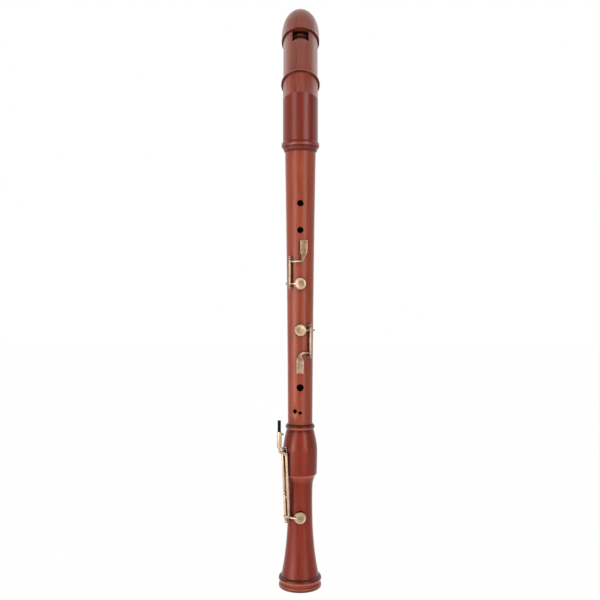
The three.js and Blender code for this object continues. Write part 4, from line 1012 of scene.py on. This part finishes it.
def middle_key(key):
    name, side, opened = key["name"], key["side"], open_matrix(key)
    cup = key["cup_x"], key["cup_z"]
    low_post, high_post = key["low_post"], key["high_post"]
    seat_y = -(middle_radius(key["cup_z"]) - SEAT_DEPTH) - PAD_GAP
    inner = -seat_y + PAD_THICKNESS + CUP_WALL
    pin = hinge_place(key, 0)
    out = pin.normalized()
    low, high = low_post + BALL_RADIUS + TUBE_GAP, high_post - BALL_RADIUS - TUBE_GAP
    tube = rod(hinge_place(key, low), hinge_place(key, high), TUBE_RADIUS)
    beside, left = hinge_place(key, key["cup_z"]), Vector((side, 0, 0))
    tail_end = beside + left * (TUBE_RADIUS + TAIL_REACH)
    tail = rod(beside + left * TUBE_RADIUS / 2, tail_end, TAIL_RADIUS, 32, 0.6)
    middle = hinge_place(key, (low + high) / 2)
    hook = rod(middle - out * TUBE_RADIUS / 2, middle - out * (TUBE_RADIUS + HOOK_REACH), HOOK_RADIUS, 24)
    end = key["cup_x"] - side * CUP_ARM_PAST
    arm = cup_arm(pin.x, end, key["cup_z"], inner - CUP_ARM_SUNK, *MIDDLE_CUP_ARM)
    brass(name + "_tube", moved(together(tube, tail, hook), opened), name, name)
    brass(name + "_touch", moved(lever(key, inner), opened), name, name, soft=True)
    brass(name + "_cup_arm", moved(arm, opened), name, name, soft=True)
    brass(name + "_cup", moved(pad_cup(*cup, seat_y, key["cup_radius"]), opened), name, name)
    pad(name + "_pad_kid", *cup, seat_y, key["cup_radius"], opened, name, name + "_pad")
    for end, level, z in (("low", "lower", low_post), ("high", "upper", high_post)):
        point = hinge_place(key, z)
        post = ball_post(point, middle_radius(point.z), BALL_RADIUS)
        brass("%s_post_%s" % (name, end), post, "middle", "%s_%s_post" % (name, level))
    start = hinge_place(key, low_post - BALL_RADIUS - PIN_BEFORE)
    end = hinge_place(key, high_post + BALL_RADIUS + PIN_BEYOND)
    screw(name + "_pin", start, end, *KEY_PIN, "middle", name + "_hinge_rod")
    along = Vector((-out.y, out.x, 0)) * side * NEEDLE_SIDE
    line = pin - out * (TUBE_RADIUS + HOOK_REACH / 2) + along
    heights = low_post + NEEDLE_START, (low_post + high_post) / 2 + NEEDLE_PAST
    start, end = [line + Vector((0, 0, z)) for z in heights]
    needle_spring(name + "_needle", start, end, "middle", name + "_spring")


# ---- Foot key

FOOT_WAY = (FOOT_HINGE_HIGH - FOOT_HINGE_LOW).normalized()
FOOT_SWING = (
    Matrix.Translation(FOOT_HINGE_LOW) @ Matrix.Rotation(-FOOT_KEY_OPENING, 4, FOOT_WAY)
    @ Matrix.Translation(-FOOT_HINGE_LOW)
)
FOOT_MIDDLE_POST, FOOT_BALL_RADIUS, FOOT_TUBE_GAP = 143.5, 2.9, 2.75
FOOT_POST_SURFACES = {"lower": FOOT_SURFACE, "middle": 18.5, "upper": 25.7}
LOWER_TUBE_RADIUS, UPPER_TUBE_RADIUS, BAR_RADIUS, CRANK_RADIUS = 2.6, 2.5, 1.95, 1.7
BAR_LOW, BAR_HIGH = Vector((-16.4, -17.5, FOOT_CUP_HEIGHT)), Vector((-20.4, -22, 203.6))
# The sleeve that holds the black touch, from its floor up
HOLDER = Vector((-30.6, -28, 212))
HOLDER_LENGTH, HOLDER_RADIUS, HOLDER_BORE, HOLDER_FLOOR = 23.7, 3.4, 2.6, 1.5
# Height, how far it passes the hinge, half its width, and how thick it is
FOOT_LINKS = ((FOOT_CUP_HEIGHT, 2.2, 1.5, 2.8), (137, 0, 1.4, 3), (200.6, 0, 1.5, 3))
LINK_LAYERS = ((-0.5, 0.82), (-0.44, 1), (0.44, 1), (0.5, 0.82))
RESIN_RADIUS, RESIN_ABOVE, RESIN_INSIDE = 2.4, 16.7, 12
CLAMP_PLACE, CLAMP_LENGTH = Vector((2.55, 0, 20)), 3.7
STUD_WAY, STUD_HEIGHT = Vector((-19.6, -16.78, 0)).normalized(), 210.6
STUD_BASE, STUD_HEAD, STUD_RADIUS, STUD_KNOB = 24.6, 28.1, 0.9, 1.5
FOOT_NEEDLE_REACH, FOOT_NEEDLE_DROP, FOOT_NEEDLE_LENGTH = 26.6, 1.05, 36
BAR_STEPS, PATH_STEPS, WEB_STEPS = 24, 8, 12


def foot_hinge(z):
    share = (z - FOOT_HINGE_LOW.z) / (FOOT_HINGE_HIGH.z - FOOT_HINGE_LOW.z)
    return FOOT_HINGE_LOW.lerp(FOOT_HINGE_HIGH, share)


def swept(points, radius):
    """A round bar along smooth points."""
    rings = []
    side = Vector((1, 0, 0))
    last = len(points) - 1
    turns = [tau * k / BAR_STEPS for k in range(BAR_STEPS)]
    for i, p in enumerate(points):
        way = (points[min(i + 1, last)] - points[max(i - 1, 0)]).normalized()
        side = (side - way * side.dot(way)).normalized()
        other = way.cross(side)
        rings.append([tuple(p + (side * cos(turn) + other * sin(turn)) * radius) for turn in turns])
    return oriented(loft(rings))


def smooth_path(knots):
    full = [knots[0], *knots, knots[-1]]
    fours = zip(full, full[1:], full[2:], full[3:])
    return [*[between_knots(*four, i / PATH_STEPS) for four in fours for i in range(PATH_STEPS)], full[-1]]


def link(a, b, width, height):
    """A flat web with round ends between two upright bars."""
    b = Vector((b.x, b.y, a.z))
    way = (b - a).normalized()
    side = Vector((-way.y, way.x, 0)) * width
    ring = []
    for centre, start in ((a, pi / 2), (b, -pi / 2)):
        for i in range(WEB_STEPS + 1):
            turn = start + pi * i / WEB_STEPS
            ring.append(centre + way * width * cos(turn) + side * sin(turn))
    middle = (a + b) / 2
    rings = []
    for lift, shrink in LINK_LAYERS:
        up = Vector((0, 0, lift * height))
        rings.append([
            tuple(middle + (p - middle) * (1 - (1 - shrink) * width / (p - middle).length) + up) for p in ring
        ])
    return oriented(loft(rings))


def foot_key():
    shut = FOOT_SWING.inverted()

    def bar_at(z):
        low, high = shut @ BAR_LOW, shut @ BAR_HIGH
        return low.lerp(high, (z - low.z) / (high.z - low.z))

    def part(name, shape, look=BRIGHT_BRASS, soft=False):
        brass("foot_key_" + name, moved(shape, FOOT_SWING), "foot_key", "foot_key", look, soft)

    low, middle, high = FOOT_HINGE_LOW.z, FOOT_MIDDLE_POST, FOOT_HINGE_HIGH.z
    tubes = together(*[
        rod(foot_hinge(start + FOOT_TUBE_GAP), foot_hinge(end - FOOT_TUBE_GAP), radius)
        for start, end, radius in ((low, middle, LOWER_TUBE_RADIUS), (middle, high, UPPER_TUBE_RADIUS))
    ])
    bar = rod(bar_at(FOOT_CUP_HEIGHT - 1.4), bar_at(BAR_HIGH.z), BAR_RADIUS, 32, 0.6)
    links = together(*[
        link(foot_hinge(z) - Vector((past, 0, 0)), bar_at(z), width, height)
        for z, past, width, height in FOOT_LINKS
    ])
    elbow = HOLDER + Vector((0, 0, -6.5))
    knots = [
        HOLDER + Vector((0, 0, 0.8)), HOLDER + Vector((0, 0, -2.6)),
        elbow.lerp(BAR_HIGH, 0.08) + Vector((0, 0, 1.1)), elbow.lerp(BAR_HIGH, 0.25),
        elbow.lerp(BAR_HIGH, 0.55), BAR_HIGH + Vector((-1, -0.6, -1.5)), BAR_HIGH + Vector((0.1, 0.2, -2.6)),
    ]
    crank = moved(swept(smooth_path(knots), CRANK_RADIUS), shut)
    part("bars", together(tubes, bar, links, crank))
    inner = FOOT_SEAT + 1.1 + PAD_THICKNESS + CUP_WALL
    start, end = foot_hinge(FOOT_CUP_HEIGHT).x + 4, 1.2
    part("cup_arm", cup_arm(start, end, FOOT_CUP_HEIGHT, inner, *FOOT_CUP_ARM), soft=True)
    cup = FOOT_CUP_SIDE, FOOT_CUP_HEIGHT, -FOOT_SEAT - 0.25, FOOT_CUP_DRAWN
    part("cup", pad_cup(*cup), FOOT_CUP_BRASS)
    pad("foot_key_pad_kid", *cup, FOOT_SWING, "foot_key", "foot_key_pad")

    profile = eased([
        (0, 0), (HOLDER_RADIUS, 0), (HOLDER_RADIUS, HOLDER_LENGTH), (HOLDER_BORE, HOLDER_LENGTH),
        (HOLDER_BORE, HOLDER_FLOOR), (0, HOLDER_FLOOR),
    ], 0.3)
    holder = moved(turned(profile, 48), Matrix.Translation(HOLDER))
    brass("foot_key_sleeve", holder, "foot_key", "foot_key", BRIGHT_BRASS)
    top, bottom = HOLDER.z + HOLDER_LENGTH + RESIN_ABOVE, HOLDER.z + HOLDER_LENGTH - RESIN_INSIDE
    profile = [(0, bottom), (RESIN_RADIUS, bottom), (RESIN_RADIUS, top - 0.5), (2, top), (0, top)]
    above = Matrix.Translation((HOLDER.x, HOLDER.y, 0))
    touch = mesh_object("foot_key_touch_rod", *turned(eased(profile, 0.3), SMALL_STEPS), above)
    finished(touch, RESIN, "foot_key_touch", "black_touch", "foot_key_touch")
    start = HOLDER + CLAMP_PLACE
    end = start + Vector((CLAMP_LENGTH, 0, 0))
    screw("foot_key_clamp", start, end, *CLAMP_SCREW, "clamp_screw", "foot_key_clamp_screw")


def foot_key_fittings():
    points = {"lower": FOOT_HINGE_LOW, "middle": foot_hinge(FOOT_MIDDLE_POST), "upper": FOOT_HINGE_HIGH}
    for level, point in points.items():
        post = ball_post(point, FOOT_POST_SURFACES[level], FOOT_BALL_RADIUS)
        brass("foot_key_post_" + level, post, "foot", "foot_key_%s_post" % level, BRIGHT_BRASS)
    start, end = foot_hinge(FOOT_HINGE_LOW.z - 2.8), foot_hinge(FOOT_HINGE_HIGH.z + 3.8)
    screw("foot_key_pin", start, end, *FOOT_KEY_PIN, "foot", "foot_key_hinge_rod")
    base, head, top = [
        STUD_WAY * reach + Vector((0, 0, STUD_HEIGHT)) for reach in (STUD_BASE, STUD_HEAD, FOOT_NEEDLE_REACH)
    ]
    knob = [(cos(0.4 * i) * STUD_KNOB, sin(0.4 * i) * STUD_KNOB) for i in range(-3, 4)]
    knob = [(0, -STUD_KNOB), *knob, (0, STUD_KNOB)]
    stud = together(rod(base, head, STUD_RADIUS, 24), moved(turned(knob, 32), laid(head, head + STUD_WAY)))
    brass("foot_key_spring_stud", stud, "foot", "foot_key_spring_post", BRIGHT_BRASS)
    top -= Vector((0, 0, FOOT_NEEDLE_DROP))
    needle_spring("foot_key_needle", top, top - Vector((0, 0, FOOT_NEEDLE_LENGTH)), "foot", "foot_key_spring")


# ---- Fittings at the back

REST_HEIGHT, REST_WIDTH, PLATE_LENGTH, PLATE_STEPS, PLATE_GAP = 346, 13, 32, 24, 0.3
# Reach from the plate's inner face and height, and the share of the width
REST_SPINE = (
    ((0.8, 0), 0.72), ((4, 0), 0.8), ((8, -0.1), 0.92), ((11.4, -0.9), 1), ((13.3, -3), 1),
    ((13.8, -5.2), 0.95), ((13.8, -7), 0.82),
)
REST_SECTION = (
    (-1, -0.5), (-0.6, -1.2), (0.6, -1.2), (1, -0.5), (1, 0.5), (0.6, 1.2), (-0.6, 1.2), (-1, 0.5),
)
REST_SCREW_SPACING = 22
EYE_HEIGHT_ON_JOINT, EYE_REACH = 604, 5
EYE_PROFILE = [(1.8, -1.5), (3.6, -1.5), (3.6, 1.5), (1.8, 1.5)]
RING_RADIUS, WIRE_RADIUS, RING_STEPS, WIRE_STEPS = 9, 1.1, 64, 20


def on_back(reach, z):
    return Vector((0, middle_radius(z) + reach, z))


def thumb_rest():
    inner = middle_radius(REST_HEIGHT) + PLATE_GAP
    rings = []
    for i in range(PLATE_STEPS + 1):
        z = REST_HEIGHT - PLATE_LENGTH / 2 + PLATE_LENGTH * i / PLATE_STEPS
        edge = min(1, (PLATE_LENGTH / 2 - abs(z - REST_HEIGHT) + 0.2) / 4)
        half = REST_WIDTH / 2 * sqrt(max(0.05, 1 - (1 - edge) ** 2))
        rings.append([
            ((inner + lift) * sin(across / inner), (inner + lift) * cos(across / inner), z)
            for across, lift in section(half, half, 0)
        ])
    brass("thumb_rest_plate", oriented(loft(rings)), "middle", "thumb_rest", soft=True)
    spine = [Vector((inner + reach, z)) for (reach, z), _ in REST_SPINE]
    rings = []
    for i, (here, (_, share)) in enumerate(zip(spine, REST_SPINE)):
        way = (spine[min(i + 1, len(spine) - 1)] - spine[max(i - 1, 0)]).normalized()
        half = REST_WIDTH / 2 * share
        rings.append([
            (half * x, here.x - way.y * lift, REST_HEIGHT + here.y + way.x * lift) for x, lift in REST_SECTION
        ])
    brass("thumb_rest_hook", oriented(loft(rings)), "middle", "thumb_rest", soft=True)
    for level, side in (("lower", -1), ("upper", 1)):
        z = REST_HEIGHT + side * REST_SCREW_SPACING / 2
        start, end = on_back(-5.8, z), Vector((0, inner + LEVER_THICKNESS + 1.15, z))
        screw("thumb_rest_screw_" + level, start, end, *WOOD_SCREW, "middle", "thumb_rest_%s_screw" % level)


def strap_eye_and_ring():
    z = EYE_HEIGHT_ON_JOINT
    centre = on_back(EYE_REACH, z)
    disc = moved(turned(eased(EYE_PROFILE, 0.7), 48), laid(centre, centre + Vector((1, 0, 0))))
    stem = rod(on_back(-1, z), on_back(EYE_REACH - 2.2, z), 1.4, 32)
    flange = rod(on_back(-0.6, z), on_back(0.6, z), 2.6, 32, 0.3)
    brass("strap_eye_brass", together(disc, stem, flange), "middle", "strap_eye")
    hang = centre - Vector((0, 0, RING_RADIUS))
    rings = []
    for i in range(RING_STEPS):
        turn = tau * i / RING_STEPS
        out = Vector((cos(turn), 0, sin(turn)))
        wire = circle(WIRE_RADIUS, 0, WIRE_STEPS)
        rings.append([tuple(hang + out * (RING_RADIUS + x) + Vector((0, y, 0))) for x, y, _ in wire])
    brass("strap_ring_wire", oriented(loft(rings, closed=True)), "strap_ring", "strap_ring")


# ---- Camera, light and floor


ROOM_LIGHT = 0.22
FLOOR_WHITE = 0.99
FLOOR_HALF = 6  # metres
FLOOR_GREYS = ((0.8, 0.8, 0.8), (0.82, 0.82, 0.82))
MOTTLE = (3, 3)  # scale and detail
# Name, place, aim, width, height, power; in metres and watts
SOFTBOXES = [
    ("left_strip", (-1.42, -1.75, 0.85), (0, 0, 0.45), 0.75, 1.9, 27),
    ("right_strip", (1.35, -1.85, 0.85), (0, 0, 0.45), 0.7, 1.9, 36),
    ("left_low", (-1.5, -1, 0.25), (0, 0, 0.12), 0.8, 0.6, 16),
    ("overhead", (0, -0.5, 2.5), (0, 0, 0.6), 1.6, 1.2, 5),
    ("left_high", (-1.7, 1, 1.75), (0, 0, 0.7), 1.7, 1.1, 4),
    ("right_high", (1.7, 1, 1.75), (0, 0, 0.7), 1.7, 1.1, 5),
]
# Behind the instrument, and left out of the wood's and the brass's reflections
BACK_FILL = ("back_fill", (0, 2.2, 1.1), (0, 0, 0.45), 1.8, 1.8, 16)


def make_camera():
    camera = bpy.data.objects.new("camera", bpy.data.cameras.new("camera"))
    camera.data.sensor_width = SENSOR
    camera.data.lens = SENSOR * FOCAL_PIXELS / IMAGE_PIXELS
    camera.data.shift_y = -HORIZON_PIXELS / IMAGE_PIXELS
    camera.data.clip_start, camera.data.clip_end = 0.05, 30
    camera.location = Vector((EYE_SIDE, -EYE_DISTANCE, EYE_HEIGHT)) * MM
    camera.rotation_euler = (pi / 2, EYE_ROLL, 0)
    bpy.context.scene.collection.objects.link(camera)
    bpy.context.scene.camera = camera


def softbox(name, place, aim, width, height, power):
    lamp = bpy.data.objects.new(name, bpy.data.lights.new(name, "AREA"))
    lamp.data.shape = "RECTANGLE"
    lamp.data.size, lamp.data.size_y = width, height
    lamp.data.energy = power
    lamp.location = place
    lamp.rotation_euler = (Vector(aim) - Vector(place)).to_track_quat("-Z", "Y").to_euler()
    bpy.context.scene.collection.objects.link(lamp)
    return lamp


def studio():
    world = bpy.data.worlds.new("studio")
    bpy.context.scene.world = world
    room = Graph(world)
    plain = room.node("ShaderNodeBackground", None, {"Color": (1, 1, 1), "Strength": ROOM_LIGHT})
    way = room.node("ShaderNodeTexCoord")
    backwards = room.node("ShaderNodeSeparateXYZ", None, {0: way}, output=1)
    room.seen_white(plain, "World Output", mirrored=room.spread(backwards, -0.2, 0.1))

    size = FLOOR_HALF / MM
    corners = [(-size, -size, 0), (size, -size, 0), (size, size, 0), (-size, size, 0)]
    floor = mesh_object("floor", corners, [(0, 1, 2, 3)])
    pale = Shader("pale_floor", Roughness=0.9, Specular_IOR_Level=0.1)
    mottle = pale.noise(pale.place(), *MOTTLE)
    pale.set(Base_Color=pale.tint(pale.spread(mottle, *NOISE_SPAN), *FLOOR_GREYS))
    pale.seen_white(Field(pale, pale.surface.outputs[0]), "Material Output", FLOOR_WHITE)
    floor.data.materials.append(pale.material)

    for lamp in SOFTBOXES:
        softbox(*lamp)
    softbox(*BACK_FILL).visible_glossy = False


bpy.context.scene.view_settings.view_transform = "Standard"
make_camera()
studio()
foot_joint()
middle_joint()
knee()
head_joint()
cap()
corks()
for key in KEYS:
    middle_key(key)
foot_key()
foot_key_fittings()
thumb_rest()
strap_eye_and_ring()
